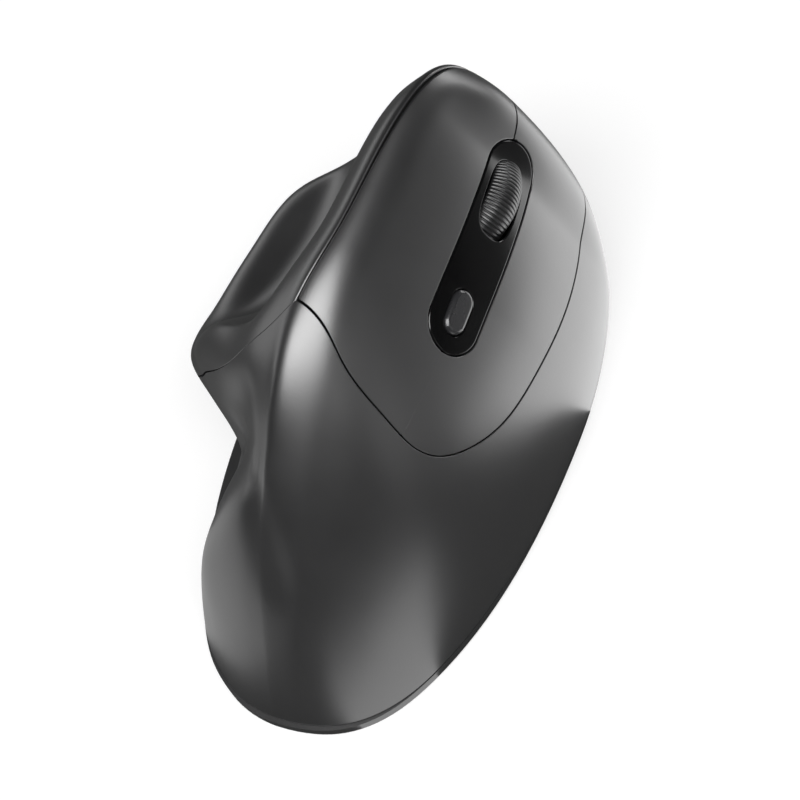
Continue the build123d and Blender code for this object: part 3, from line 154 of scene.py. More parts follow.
# The sculpted form
def spline_weights(knots: Array, places: Array) -> Array:
    """Weights that turn values at knots into natural cubic spline values.

    Args:
        knots: rising places of the knots.
        places: places to evaluate.

    Returns:
        One row of knot weights for each place.
    """
    count = len(knots)
    steps = np.diff(knots)
    bend, load = np.eye(count), np.zeros((count, count))
    for i in range(1, count - 1):
        before, after = steps[i - 1], steps[i]
        bend[i, i - 1:i + 2] = before, 2 * (before + after), after
        load[i, i - 1:i + 2] = 6 / before, -6 / before - 6 / after, 6 / after
    curvature = np.linalg.solve(bend, load)
    k = np.clip(np.searchsorted(knots, places) - 1, 0, count - 2)
    b = (places - knots[k]) / steps[k]
    a = 1 - b
    weights = np.zeros((len(places), count))
    rows = np.arange(len(places))
    weights[rows, k] += a
    weights[rows, k + 1] += b
    span = (steps[k] ** 2 / 6)[:, None]
    weights += (a ** 3 - a)[:, None] * span * curvature[k] + (b ** 3 - b)[:, None] * span * curvature[k + 1]
    return weights


def along(table: Iterable[tuple], places: Array) -> Array:
    """Values of a table of (place, value) knots on a natural cubic spline.

    Args:
        table: knots, each a place with one value or a tuple of values.
        places: places to evaluate.

    Returns:
        One row of values for each place.
    """
    knots = np.array([knot[0] for knot in table], float)
    values = np.array([np.atleast_1d(knot[1]) for knot in table], float)
    return spline_weights(knots, np.atleast_1d(np.asarray(places, float))) @ values


def ease(value: Array, start: float, end: float) -> Array:
    """A smooth step from 0 at start to 1 at end."""
    t = np.clip((np.asarray(value, float) - start) / (end - start), 0, 1)
    return t * t * (3 - 2 * t)


def unit(vectors: Array) -> Array:
    """The same vectors with length one."""
    return vectors / np.maximum(np.linalg.norm(vectors, axis=-1, keepdims=True), 1e-9)


@dataclass(frozen=True)
class MouseForm:
    """The body's form in millimetres: ridge, plan, cross-sections and the lines of its named edges."""

    height: float = 63.0
    crest_y: float = 6.6
    rear_reach: float = 68.5
    front_reach: float = 48.5
    middle_x: float = 1.45
    half_right: float = 31.0
    half_left: float = 30.8
    form_floor: float = 10.0
    rear_profile: float = 2.15
    front_profile: float = 6.5
    front_fullness: float = 0.36
    crown_share: float = 0.16
    plan_powers: tuple = (2.2, 2.3, 2.1)
    blunt_rows: tuple = (35.3, 49.3)
    belly_knot: float = 7.5
    belly_spread: float = 2.0
    wing_rows: tuple = ((-44.7, -16.7), (41.3, 53.3))
    under_lip: tuple = (-0.9, -0.4)
    above_foot: tuple = (0.6, -1.0)
    ridge_line: tuple = (
        (-66, 1.0), (-40, 0.0), (-20, -0.5), (-4, 0.0), (10, 1.6), (25, 2.2), (40, 3.5), (56, 6.0))
    lip_line: tuple = (
        (-60, (-8, 20)), (-40, (-10, 22)), (-28, (-13, 23.5)), (-22, (-15.6, 24)), (-17.7, (-16.7, 24.3)),
        (-13.7, (-21.4, 24.5)), (-9.7, (-26.7, 24.5)), (-5.7, (-31.3, 24.5)), (-1.7, (-32.5, 25)),
        (4.3, (-31.9, 25)), (12.3, (-30.9, 25)), (20.3, (-29.7, 25)), (28.3, (-27.7, 25.5)),
        (33.3, (-24.6, 25.5)), (37.3, (-19.6, 26)), (41.3, (-15, 27)), (47.3, (-10, 27)), (56, (-1, 22)))
    fold_line: tuple = (
        (-60, (-15, 8)), (-40, (-16.5, 8)), (-28, (-18, 9.5)), (-17, (-19.5, 11)), (-8, (-21, 12)),
        (4, (-22, 11.5)), (20, (-21, 11.5)), (34, (-17, 12)), (44, (-12, 12)), (56, (-1, 8)))
    scoop_depth: tuple = (
        (-66, 0), (-20, 0), (-8.7, -0.3), (-3.7, 1.0), (1.3, 6.0), (7.3, 9.0), (17.3, 10), (27.3, 9.0),
        (33.3, 6.5), (38.3, 2.5), (43.3, 0.5), (56, 0))
    face_share: tuple = ((-66, 0), (-40, 0.0), (-15, 0.4), (0, 0.8), (12, 1.0), (40, 1), (56, 1.0))
    belly: tuple = ((-66, 0), (0, -0.3), (15, -0.2), (30, 0.2), (42, 1.6), (56, 2.6))
    dome: tuple = (
        (0, 1), (.12, .993), (.27, .965), (.44, .90), (.62, .79), (.77, .65), (.88, .50), (.95, .36),
        (.985, .23), (1, .14), (1, 0))
    face: tuple = (
        (0, 1), (.09, .985), (.22, .925), (.38, .83), (.56, .715), (.74, .59), (.88, .47), (.97, .36),
        (1.005, .25), (1, .14), (.97, 0))
    nose: tuple = (
        (0, 1), (.1, .99), (.25, .965), (.42, .925), (.59, .86), (.77, .76), (.9, .64), (.98, .5),
        (1.01, .36), (1, .2), (1, 0))
    heel_left: tuple = (
        (.08, .995), (.19, .97), (.32, .925), (.46, .85), (.58, .76), (.68, .665), (.76, .575),
        (.82, .505), (.86, .455), (.905, .38), (.94, .31), (.97, .23), (1, .137), (1.01, .07), (1.01, 0))
    thumb_side: tuple = (
        (.07, .33, 0), (.2, .75, .25), (.36, .98, .68), (.54, 1, .98), (.70, .84, 1.02), (.84, .55, .65),
        (.935, .25, .15))

    def ridge_x(self, y: Array) -> Array:
        """Where the top of the ridge lies across the body."""
        return along(self.ridge_line, y)[:, 0]

    def ridge_z(self, y: Array) -> Array:
        """How high the ridge is, from the rear over the crest to the blunt front."""
        y = np.atleast_1d(np.asarray(y, float))
        rear = 1 - (np.clip(self.crest_y - y, 0, self.rear_reach) / self.rear_reach) ** self.rear_profile
        reach = np.clip(y - self.crest_y, 0, self.front_reach) / self.front_reach
        front = (1 - reach ** self.front_profile) ** self.front_fullness
        share = np.where(y < self.crest_y, rear, front)
        return (self.height + self.form_floor) * share - self.form_floor

    def plan_share(self, y: float) -> float:
        """Half width of the base outline at y, as a share of its widest."""
        rear, front, root = self.plan_powers
        if y < self.crest_y:
            inside = 1 - ((self.crest_y - y) / self.rear_reach) ** rear
        else:
            inside = 1 - ((y - self.crest_y) / self.front_reach) ** front
        return max(1e-4, inside) ** (1 / root)

    def right_knots(self, y: float, top: Array, right: float) -> list[Array]:
        """Named points of the section from the floor at the right up to the ridge.

        Args:
            y: place along the body.
            top: x and z of the ridge.
            right: x of the base outline.

        Returns:
            The points in order, the ridge last.
        """
        face = float(np.clip(along(self.face_share, y)[0, 0], 0, 1))
        blunt = float(ease(y, *self.blunt_rows))
        belly = float(along(self.belly, y)[0, 0])
        knots = []
        for i in reversed(range(len(self.dome))):
            flat = np.array(self.face[i]) * (1 - blunt) + np.array(self.nose[i]) * blunt
            out, up = np.array(self.dome[i]) * (1 - face) + flat * face
            push = belly * math.exp(-((i - self.belly_knot) / self.belly_spread) ** 2)
            knots.append(np.array([top[0] + out * (right - top[0]) + push,
                                   up * (top[1] + self.form_floor) - self.form_floor]))
        return knots

    def left_knots(self, y: float, top: Array, left: float, hollow: bool) -> list[Array]:
        """Named points of the section from the ridge over the scoop and the wing to the floor at the left.

        Args:
            y: place along the body.
            top: x and z of the ridge.
            left: x of the base outline.
            hollow: whether the wing is left out, for the inside of the wall.

        Returns:
            The points in order, without the ridge.
        """
        lip, fold = along(self.lip_line, y)[0], along(self.fold_line, y)[0]
        depth = float(along(self.scoop_depth, y)[0, 0])
        face = float(np.clip(along(self.face_share, y)[0, 0], 0, 1))
        chord = lip - top
        length = float(np.linalg.norm(chord))
        inward = np.array([-chord[1], chord[0]]) / length
        crown = self.crown_share * length * (1 - 0.55 * face)
        thumb = [top + chord * f - inward * crown * c + inward * depth * d for f, c, d in self.thumb_side]
        thumb += [
            lip,
            0.86 * lip + 0.14 * fold + np.array(self.under_lip) * min(1, depth / 4 + 0.3),
            (lip + fold) / 2,
            fold,
            0.45 * fold + 0.55 * np.array([left, 0]) + np.array(self.above_foot),
            np.array([left, 0]),
            np.array([left - 0.5, -self.form_floor / 2]),
            np.array([left - 0.5, -self.form_floor]),
        ]
        if hollow:
            for k in range(4, 10):
                thumb[k] = thumb[3] + (fold - thumb[3]) * (k - 3) / 7
        rear, front = self.wing_rows
        winged = float(ease(y, *rear) * (1 - ease(y, *front)))
        knots = []
        for (out, up), point in zip(self.heel_left, thumb):
            plain = np.array([top[0] + out * (left - top[0]),
                              up * (top[1] + self.form_floor) - self.form_floor])
            knots.append(plain + (point - plain) * winged)
        return knots

    def section_knots(self, y: float, hollow: bool = False) -> Array:
        """The cross-section's named points, from the floor at the right over the ridge to the left."""
        top = np.array([self.ridge_x(y)[0], self.ridge_z(y)[0]])
        share = self.plan_share(y)
        right = self.middle_x + self.half_right * share
        left = self.middle_x - self.half_left * share
        return np.array(self.right_knots(y, top, right) + self.left_knots(y, top, left, hollow))


@dataclass
class Skin:
    """The form's outer skin as a fine grid of points, with the inside of the wall beneath it."""

    form: MouseForm
    row_step: float = 0.8
    columns: int = 300
    wall: float = 1.5
    front_rows: float = 50.0
    profile_steps: tuple = (1200, 1600)
    middle_y: float = 14.3
    dents: tuple = (
        ((-9.5, -24, 43), (8, 8, 9), -2.2), ((-13, -21.5, 32), (8, 5, 8), -3.6),
        ((-17, -36, 19), (7, 8, 11), 1.3), ((-14, -3, 49), (7, 5.5, 9), -4.4))
    fold: tuple = (
        (-7.6, -25.1, 44.2), (-2.7, -32.2, 40.7), (0.4, -37.7, 34.4), (2.4, -41.8, 28.3), (4.2, -45.2, 22.6))
    fold_depth: float = 0.5
    fold_width: float = 3.2
    fold_steps: int = 61
    fold_fade: tuple = (0.2, 0.6)

    def __post_init__(self) -> None:
        """Work out the grid, its normals and the inner points."""
        form = self.form
        rear, front = self.profile_steps
        fine = np.concatenate([
            form.crest_y - form.rear_reach * np.sin(np.linspace(math.pi / 2, 0, rear)),
            form.crest_y + form.front_reach * np.sin(np.linspace(0, math.pi / 2, front))[1:]])
        profile = np.column_stack([fine, form.ridge_z(fine)])
        run = np.concatenate([[0], np.cumsum(np.linalg.norm(np.diff(profile, axis=0), axis=1))])
        self.ys = np.interp(np.linspace(0, run[-1], int(run[-1] / self.row_step)), run, fine)
        middle = form.section_knots(self.middle_y)
        steps = np.linalg.norm(np.diff(middle, axis=0), axis=1)
        places = np.concatenate([[0], np.cumsum(steps)]) / steps.sum()
        weights = spline_weights(places, np.linspace(0, 1, self.columns))
        self.points = self.sculpt(self.grid(weights, False))
        self.normals = self.outward_normals(self.points)
        hollow = self.sculpt(self.grid(weights, True))
        self.inner = hollow - self.wall * self.outward_normals(hollow)
        self.inner[:, :, 1] = np.minimum(self.inner[:, :, 1], self.ys[-1] - self.wall)

    def grid(self, weights: Array, hollow: bool) -> Array:
        """Points of every section, row by row from the rear to the front."""
        rows = []
        for y in self.ys:
            flat = weights @ self.form.section_knots(float(y), hollow)
            rows.append(np.column_stack([flat[:, 0], np.full(len(flat), y), flat[:, 1]]))
        return np.array(rows)

    def outward_normals(self, points: Array) -> Array:
        """Normals of a grid that point forward everywhere on the blunt front."""
        normals = self.grid_normals(points)
        normals[(normals[:, :, 1] < 0) & (self.ys[:, None] > self.front_rows)] *= -1
        return normals

    def sculpt(self, points: Array) -> Array:
        """The same points with the listed dents and the fold behind the wing pressed in."""
        push = np.zeros(points.shape[:2])
        for middle, spread, amount in self.dents:
            push += amount * np.exp(-np.sum(((points - middle) / spread) ** 2, axis=-1))
        line = np.array(self.fold)
        share = np.linspace(0, 1, self.fold_steps)
        knots = np.linspace(0, 1, len(line))
        dense = np.column_stack([np.interp(share, knots, line[:, k]) for k in range(3)])
        away = np.linalg.norm(points[:, :, None, :] - dense, axis=-1)
        nearest = share[away.argmin(axis=-1)]
        fade = ease(nearest, 0, self.fold_fade[0]) * (1 - ease(nearest, self.fold_fade[1], 1))
        push -= self.fold_depth * fade * np.exp(-(away.min(axis=-1) / self.fold_width) ** 2)
        return points + push[:, :, None] * self.grid_normals(points)

    @staticmethod
    def grid_normals(points: Array) -> Array:
        """Outward normals of a grid of points."""
        return unit(np.cross(np.gradient(points, axis=0), np.gradient(points, axis=1)))

    def sample(self, grid: Array, places: Array) -> Array:
        """Smooth values of a grid at fractional rows and columns.

        Args:
            grid: values by row and column.
            places: pairs of row and column.

        Returns:
            One row of values for each place.
        """
        low = np.floor(places).astype(int)
        t = places - low
        total = 0
        weights = [
            [(-f + 2 * f ** 2 - f ** 3) / 2, (2 - 5 * f ** 2 + 3 * f ** 3) / 2,
             (f + 4 * f ** 2 - 3 * f ** 3) / 2, (f ** 3 - f ** 2) / 2] for f in (t[:, 0], t[:, 1])]
        for a in range(4):
            row = np.clip(low[:, 0] + a - 1, 0, grid.shape[0] - 1)
            for b in range(4):
                column = np.clip(low[:, 1] + b - 1, 0, grid.shape[1] - 1)
                total = total + (weights[0][a] * weights[1][b])[:, None] * grid[row, column]
        return total

    def clip(self, values: Array) -> tuple[Array, list[list[int]]]:
        """The part of the grid where a value is not negative, cut cleanly across its cells.

        Args:
            values: one value for each grid point.

        Returns:
            The kept corners' places on the grid, and faces as lists of corner numbers.
        """
        rows, columns = values.shape
        index = np.arange(rows * columns).reshape(rows, columns)
        corners = np.stack([index[:-1, :-1], index[1:, :-1], index[1:, 1:], index[:-1, 1:]], axis=-1)
        flat = values.ravel()
        inside = flat[corners] >= 0
        kept = inside.sum(axis=-1)
        faces = corners[kept == 4].tolist()
        extra: list[list[float]] = []
        made: dict[tuple[int, int], int] = {}
        for quad in corners[(kept > 0) & (kept < 4)].tolist():
            polygon = []
            for a, b in zip(quad, quad[1:] + quad[:1]):
                if flat[a] >= 0:
                    polygon.append(a)
                if (flat[a] >= 0) != (flat[b] >= 0):
                    pair = (min(a, b), max(a, b))
                    if pair not in made:
                        share = flat[pair[0]] / (flat[pair[0]] - flat[pair[1]])
                        start, end = divmod(pair[0], columns), divmod(pair[1], columns)
                        extra.append([s + (e - s) * share for s, e in zip(start, end)])
                        made[pair] = rows * columns + len(extra) - 1
                    polygon.append(made[pair])
            faces.append(polygon)
        used = sorted({corner for polygon in faces for corner in polygon})
        number = {corner: i for i, corner in enumerate(used)}
        places = [divmod(c, columns) if c < rows * columns else extra[c - rows * columns] for c in used]
        return np.array(places, float), [[number[c] for c in polygon] for polygon in faces]


# Lines and outlines on the form, each as a distance in millimetres, positive inside
@dataclass(frozen=True)
class Outline:
    """A closed flat outline, and how far points lie inside it."""

    corners: Array

    def distance(self, flat: Array) -> Array:
        """Signed distance of flat points, positive inside."""
        start = self.corners
        end = np.roll(start, -1, axis=0)
        best = np.full(len(flat), 1e9)
        inside = np.zeros(len(flat), bool)
        for a, b in zip(start, end):
            edge = b - a
            to = flat - a
            share = np.clip(to @ edge / max(float(edge @ edge), 1e-12), 0, 1)
            best = np.minimum(best, np.linalg.norm(to - share[:, None] * edge, axis=1))
            crosses = (a[1] > flat[:, 1]) != (b[1] > flat[:, 1])
            if a[1] != b[1]:
                at = a[0] + (flat[:, 1] - a[1]) / (b[1] - a[1]) * edge[0]
                inside ^= crosses & (flat[:, 0] < at)
        return np.where(inside, best, -best)


@dataclass(frozen=True)
class Edge:
    """One edge of a piece of skin: its distance, the radius it is rolled to, and how its wall leans back."""

    distance: Distance
    radius: float = 0.3
    lean: float = 0.0


@dataclass
class Layout:
    """Where the pieces part on the form: seams, strip, holes and buttons."""

    form: MouseForm
    slope_angle: float = 52.0
    wall_lean: float = 20.0
    seam_gap: float = 0.18
    ridge_gap_rear: float = 0.12
    ridge_gap_front: float = 0.4
    nose_gap: float = 0.8
    ridge_rows: tuple = (-5, 45)
    nose_rows: tuple = (44, 49)
    nose_levels: tuple = (25, 34)
    shell_floor: float = 2.7
    face_start: float = -0.9
    strip_from_ridge: float = 26.75
    strip_width: float = 11.5
    strip_rear_y: float = 0.3
    strip_front_y: float = 41.6
    wheel_y: float = 30.2
    wheel_out: float = 30.215
    key_reach_down: float = 17.0
    key_drop: float = 1.3
    split_front: float = -2.4
    split_tip: float = -3.8
    split_tip_y: float = 47.0
    side_level: float = 43.6
    drawn_points: tuple = (160, 90)
    overshoot: float = 20.0
    ridge_gap: tuple = ((-8, -1.2), (4, -0.2), (14, 0.0), (30, 0.6), (44, 1.0), (70, 1.0))
    key_seam: tuple = (
        (0, -4.8), (4.5, -6.5), (11.3, -11.1), (17, -13.3), (23.7, -14.9), (30, -16.1), (35.1, -14.9),
        (40.5, -9.9), (44.7, -3.1), (46.6, 3.8), (47.7, 11), (48.9, 21), (48.8, 31.6), (47.3, 41.5),
        (45.8, 49))
    crease: tuple = (
        (0, -4.8), (-3.4, -8.2), (-9, -11.4), (-16, -12.2), (-24, -9.6), (-32, -6.6), (-48, -4))

    def __post_init__(self) -> None:
        """Work out the directions of the key face and the thumb wall, and the seams' outlines."""
        turn, lean = math.radians(self.slope_angle), math.radians(self.wall_lean)
        self.across_axis = np.array([math.cos(turn), 0, -math.sin(turn)])
        self.out_axis = np.array([math.sin(turn), 0, math.cos(turn)])
        self.side_axis = np.array([-math.cos(lean), 0, math.sin(lean)])
        self.side_up = np.array([math.sin(lean), 0, math.cos(lean)])
        crest = self.form.crest_y
        ridge = np.array([self.form.ridge_x(crest)[0] + self.face_start, 0, self.form.ridge_z(crest)[0]])
        self.face_left = float(ridge @ self.across_axis)
        self.strip_across = self.face_left + self.strip_from_ridge
        seam_points, crease_points = self.drawn_points
        seam = self.drawn(self.key_seam, seam_points) + [self.face_left, 0]
        (left, rise), right = seam[0], seam[-1][0]
        past = left - self.overshoot
        self.key_outline = Outline(np.vstack([
            seam, [right, FAR], [past, FAR], [past, rise + self.overshoot / 3]]))
        ridge_ys = np.concatenate([np.linspace(self.crease[0][1], 56, 60), [FAR]])
        top = np.column_stack([self.gap_x(np.minimum(ridge_ys, 60)), ridge_ys])
        rear = self.drawn(self.crease, crease_points) + [self.gap_x(self.crease[0][1])[0], 0]
        self.thumb_outline = Outline(np.vstack([rear[::-1], top[1:], [-FAR, FAR], [-FAR, rear[-1][1]]]))

    @staticmethod
    def drawn(corners: tuple, count: int) -> Array:
        """A smooth line through corners, spaced evenly along its length."""
        line = np.array(corners, float)
        run = np.concatenate([[0], np.cumsum(np.linalg.norm(np.diff(line, axis=0), axis=1))])
        dense = spline_weights(run, np.linspace(0, run[-1], count)) @ line
        for _ in range(count // 4):
            dense[1:-1] = (dense[:-2] + 2 * dense[1:-1] + dense[2:]) / 4
        return dense

    def gap_x(self, y: Array) -> Array:
        """Where the gap along the ridge lies, in plan."""
        return self.form.ridge_x(y) + along(self.ridge_gap, y)[:, 0]

    def face(self, points: Array) -> Array:
        """Across and along the key face."""
        return np.column_stack([points @ self.across_axis, points[:, 1]])

    def side(self, points: Array) -> Array:
        """Along and up the thumb wall."""
        return np.column_stack([points[:, 1], points @ self.side_up])

    def capsule(self, points: Array, width: float, rear_y: float, front_y: float) -> Array:
        """Distance inside a round-ended bar along the key face.

        Args:
            points: points in space.
            width: width of the bar.
            rear_y: where the bar starts.
            front_y: where it ends.

        Returns:
            Signed distances, positive inside.
        """
        across, y = self.face(points).T
        nearest = np.clip(y, rear_y + width / 2, front_y - width / 2)
        return width / 2 - np.hypot(across - self.strip_across, y - nearest)

    def rounded(self, flat: Array, middle: tuple, half: tuple, corner: float) -> Array:
        """Distance inside a rectangle with rounded corners.

        Args:
            flat: flat points.
            middle: the rectangle's middle.
            half: half its length and height.
            corner: corner radius.

        Returns:
            Signed distances, positive inside.
        """
        over = np.abs(flat - np.array(middle)) - (np.array(half) - corner)
        outside = np.linalg.norm(np.maximum(over, 0), axis=1)
        return corner - outside - np.minimum(np.max(over, axis=1), 0)

    def floor(self, points: Array) -> Array:
        """Height above the shells' lower edge."""
        return points[:, 2] - self.shell_floor

    def thumb(self, points: Array) -> Array:
        """Distance inside the thumb panel's outline, in plan."""
        return self.thumb_outline.distance(points[:, :2])

    def keys(self, points: Array, drop: float = 0.0) -> Array:
        """Distance inside the seam round the keys, with room below for their travel.

        Args:
            points: points in space.
            drop: how much lower than the keys themselves the outline ends at the front.

        Returns:
            Signed distances, positive inside.
        """
        return np.minimum(self.key_outline.distance(self.face(points)),
                          points @ self.out_axis - self.key_reach_down + drop)

    def ridge_side(self, points: Array) -> Array:
        """Distance to the right of the gap along the ridge."""
        return points[:, 0] - self.gap_x(np.clip(points[:, 1], -30, 60))

    def ridge_room(self, points: Array) -> Array:
        """Width of the gap along the ridge: wider towards the front, most of all low on the nose."""
        share = ease(points[:, 1], *self.ridge_rows)
        low = ease(points[:, 1], *self.nose_rows) * (1 - ease(points[:, 2], *self.nose_levels))
        wider = (self.ridge_gap_front - self.ridge_gap_rear) * share
        return self.ridge_gap_rear + wider + self.nose_gap * low

    def split(self, points: Array) -> Array:
        """Distance to the right of the seam between the keys, ahead of the strip and behind it."""
        across, y = self.face(points).T
        rounding = self.strip_front_y - self.strip_width / 2
        ys = [-FAR, rounding, self.strip_front_y, self.split_tip_y, FAR]
        shifts = [0, 0, self.split_front, self.split_tip, self.split_tip]
        return across - self.strip_across - np.interp(y, ys, shifts)

    def strip(self, points: Array) -> Array:
        """Distance inside the strip's opening between the keys."""
        return self.capsule(points, self.strip_width, self.strip_rear_y, self.strip_front_y)


# Meshes
def rim_loops(faces: list[list[int]]) -> list[list[int]]:
    """Open edges of a patch, chained into loops.

    Args:
        faces: faces as lists of corner numbers.

    Returns:
        Each loop's corners, in the order of the faces beside it.
    """
    edges = {(a, b) for face in faces for a, b in zip(face, face[1:] + face[:1])}
    follow = {a: b for a, b in sorted(edges) if (b, a) not in edges}
    loops = []
    while follow:
        start = next(iter(follow))
        loop, here = [], start
        while here in follow:
            loop.append(here)
            here = follow.pop(here)
        if here == start and len(loop) > 3:
            loops.append(loop)
    return loops


def make_piece(name: str, vertices: Array, faces: list, normals: Array | None = None) -> Piece:
    """A smooth mesh object in the scene.

    Args:
        name: the piece's name.
        vertices: corners in millimetres, from the form's own zero.
        faces: faces as lists of corner numbers.
        normals: one normal for each corner, or None for plain smooth shading.

    Returns:
        The new object.
    """
    mesh = bpy.data.meshes.new(name)
    mesh.from_pydata(((np.asarray(vertices) + BODY_FORWARD) * MM).tolist(), [], faces)
    mesh.polygons.foreach_set("use_smooth", [True] * len(mesh.polygons))
    mesh.update()
    if normals is not None:
        mesh.normals_split_custom_set_from_vertices(np.asarray(normals).tolist())
    piece = bpy.data.objects.new(name, mesh)
    bpy.context.scene.collection.objects.link(piece)
    return piece


@dataclass
class SkinPiece:
    """A piece of the form's skin: trimmed by its edges, with rolled rims and a real wall."""

    name: str
    skin: Skin
    edges: list[Edge]
    lift: tuple = (0.0, 0.0, 0.0)
    depth: float | None = None
    turns: int = 4
    probe: float = 0.08
    nudge: float = 0.02

    def field(self, points: Array) -> tuple[Array, Array]:
        """Room inside the nearest edge's roll, and which edge that is."""
        room = np.array([edge.distance(points) - edge.radius for edge in self.edges])
        return room.min(axis=0), room.argmin(axis=0)

    def outward(self, points: Array, normals: Array) -> Array:
        """Directions along the skin that point off the piece at its rim.

        Args:
            points: rim points.
            normals: the skin's normals there.

        Returns:
            One direction for each point.
        """
        step = self.probe
        helper = np.where(np.abs(normals[:, 1:2]) < 0.8, np.array([[0, 1.0, 0]]), np.array([[1.0, 0, 0]]))
        first = unit(np.cross(normals, helper))
        second = np.cross(normals, first)
        slopes = [(self.field(points + step * d)[0] - self.field(points - step * d)[0])[:, None] * d
                  for d in (first, second)]
        return unit(-slopes[0] - slopes[1])

    def square_corners(self, places: Array, faces: list[list[int]]) -> tuple[Array, list[list[int]]]:
        """Add the point where two edges meet to each face that was cut across such a corner.

        Args:
            places: the patch's corners on the grid.
            faces: its faces as lists of corner numbers.

        Returns:
            The same with the missing corners added.
        """
        turns = [(a, b) for loop in rim_loops(faces) for a, b in zip(loop, loop[1:] + loop[:1])]
        nearest = self.field(self.skin.sample(self.skin.points, places))[1]
        added, where = [], {}
        for a, b in turns:
            if nearest[a] == nearest[b]:
                continue
            pair = [self.edges[nearest[a]], self.edges[nearest[b]]]
            here = (places[a] + places[b]) / 2
            for _ in range(6):
                around = here + self.nudge * np.array([[0, 0], [1, 0], [0, 1]])
                nearby = self.skin.sample(self.skin.points, around)
                room = np.array([edge.distance(nearby) - edge.radius for edge in pair])
                slope = (room[:, 1:] - room[:, :1]) / self.nudge
                if abs(np.linalg.det(slope)) < 1e-4:
                    break
                here = here - np.clip(np.linalg.solve(slope, room[:, 0]), -1, 1)
            off = np.linalg.norm(here - (places[a] + places[b]) / 2)
            if 0.05 < off < 2 and np.abs(room[:, 0]).max() < self.nudge:
                where[(a, b)] = len(places) + len(added)
                added.append(here)
        if not added:
            return places, faces
        squared = []
        for face in faces:
            polygon = []
            for a, b in zip(face, face[1:] + face[:1]):
                polygon.append(a)
                if (a, b) in where:
                    polygon.append(where[(a, b)])
            squared.append(polygon)
        return np.vstack([places, added]), squared

    def build(self) -> Piece:
        """Trim the skin, roll its rims, and close the wall behind it.

        Returns:
            The finished mesh object.
        """
        skin = self.skin
        values = self.field(skin.points.reshape(-1, 3))[0].reshape(skin.points.shape[:2])
        places, faces = self.square_corners(*skin.clip(values))
        points = skin.sample(skin.points, places)
        normals = unit(skin.sample(skin.normals, places))
        inner = skin.sample(skin.inner, places) if self.depth is None else points - self.depth * normals
        wall = skin.wall if self.depth is None else self.depth
        count = len(points)
        vertices, directions = [points, inner], [normals, -normals]
        all_faces = list(faces) + [[count + c for c in reversed(face)] for face in faces]
        total = 2 * count
        for loop in rim_loops(faces):
            rim, up = points[loop], normals[loop]
            out = self.outward(rim, up)
            nearest = self.field(rim)[1]
            before, after = ((nearest == np.roll(nearest, k))[:, None] for k in (1, -1))
            for _ in range(3):
                out = unit(out + 0.5 * (before * np.roll(out, 1, axis=0) + after * np.roll(out, -1, axis=0)))
            out = unit(out - up * np.sum(out * up, axis=1, keepdims=True))
            radius = np.array([edge.radius for edge in self.edges])[nearest][:, None]
            lean = np.array([edge.lean for edge in self.edges])[nearest][:, None]
            rings, ring_normals = [np.array(loop)], []
            for turn in np.linspace(0, math.pi / 2, self.turns + 1)[1:]:
                ring_normals.append(math.cos(turn) * up + math.sin(turn) * out)
                vertices.append(rim + radius * (math.sin(turn) * out - (1 - math.cos(turn)) * up))
            low = vertices[-1] - (wall - radius) * (up + lean * out)
            vertices.append(low)
            ring_normals.append(out)
            directions += ring_normals
            for _ in ring_normals:
                rings.append(total + np.arange(len(loop)))
                total += len(loop)
            vertices.append(low)
            directions.append(-up)
            under = total + np.arange(len(loop))
            total += len(loop)
            for upper, lower in list(zip(rings, rings[1:])) + [(under, np.array(loop) + count)]:
                ahead_upper, ahead_lower = np.roll(upper, -1), np.roll(lower, -1)
                all_faces += np.column_stack([upper, lower, ahead_lower, ahead_upper]).tolist()
        return make_piece(self.name, np.vstack(vertices) + np.array(self.lift), all_faces,
                          np.vstack(directions))


# Finishes
class Weave(Enum):
    """The kinds of fine surface that a finish can have."""

    SPARK = "spark-eroded grain"
    BRUSHED = "fine lines along the piece"
    SMOOTH = "moulded smooth"


class Graph:
    """A node tree with short ways to add and link nodes."""

    def __init__(self, tree: Tree) -> None:
        """Keep the tree that nodes go into."""
        self.tree = tree

    def node(self, kind: str, values: dict | None = None, **settings: object) -> bpy.types.Node:
        """Add a node.

        Args:
            kind: the node's type.
            values: input values, or sockets to link them from, by input name or number.
            settings: the node's own settings.

        Returns:
            The new node.
        """
        made = self.tree.nodes.new(kind)
        for key, value in settings.items():
            setattr(made, key, value)
        for key, value in (values or {}).items():
            if isinstance(value, Socket):
                self.tree.links.new(value, made.inputs[key])
            else:
                made.inputs[key].default_value = value
        return made

    def maths(self, operation: str, first: object, second: object) -> Socket:
        """A Math node's result."""
        return self.node("ShaderNodeMath", {0: first, 1: second}, operation=operation).outputs[0]

    def times(self, first: object, second: object) -> Socket:
        """Two values multiplied."""
        return self.maths("MULTIPLY", first, second)

    def blend(self, share: object, first: object, second: object) -> Socket:
        """Two colours mixed by a share."""
        return self.node("ShaderNodeMix", {0: share, 6: first, 7: second}, data_type="RGBA").outputs[2]

    def spread(self, value: object, start: tuple, end: tuple) -> Socket:
        """A value mapped from one range to another."""
        return self.node("ShaderNodeMapRange", dict(enumerate((value, *start, *end)))).outputs[0]

    def here(self) -> Socket:
        """The object's own coordinates."""
        return self.node("ShaderNodeTexCoord").outputs["Object"]

    def noise(self, where: object, scale: object, **more: float) -> Socket:
        """A Noise Texture's value, with any further inputs by name."""
        return self.node("ShaderNodeTexNoise", {"Vector": where, "Scale": scale, **more}).outputs["Fac"]

    def close(self, shader: bpy.types.Node, kind: str = "ShaderNodeOutputMaterial") -> None:
        """Link a shader to a new output node."""
        self.node(kind, {"Surface": shader.outputs[0]})


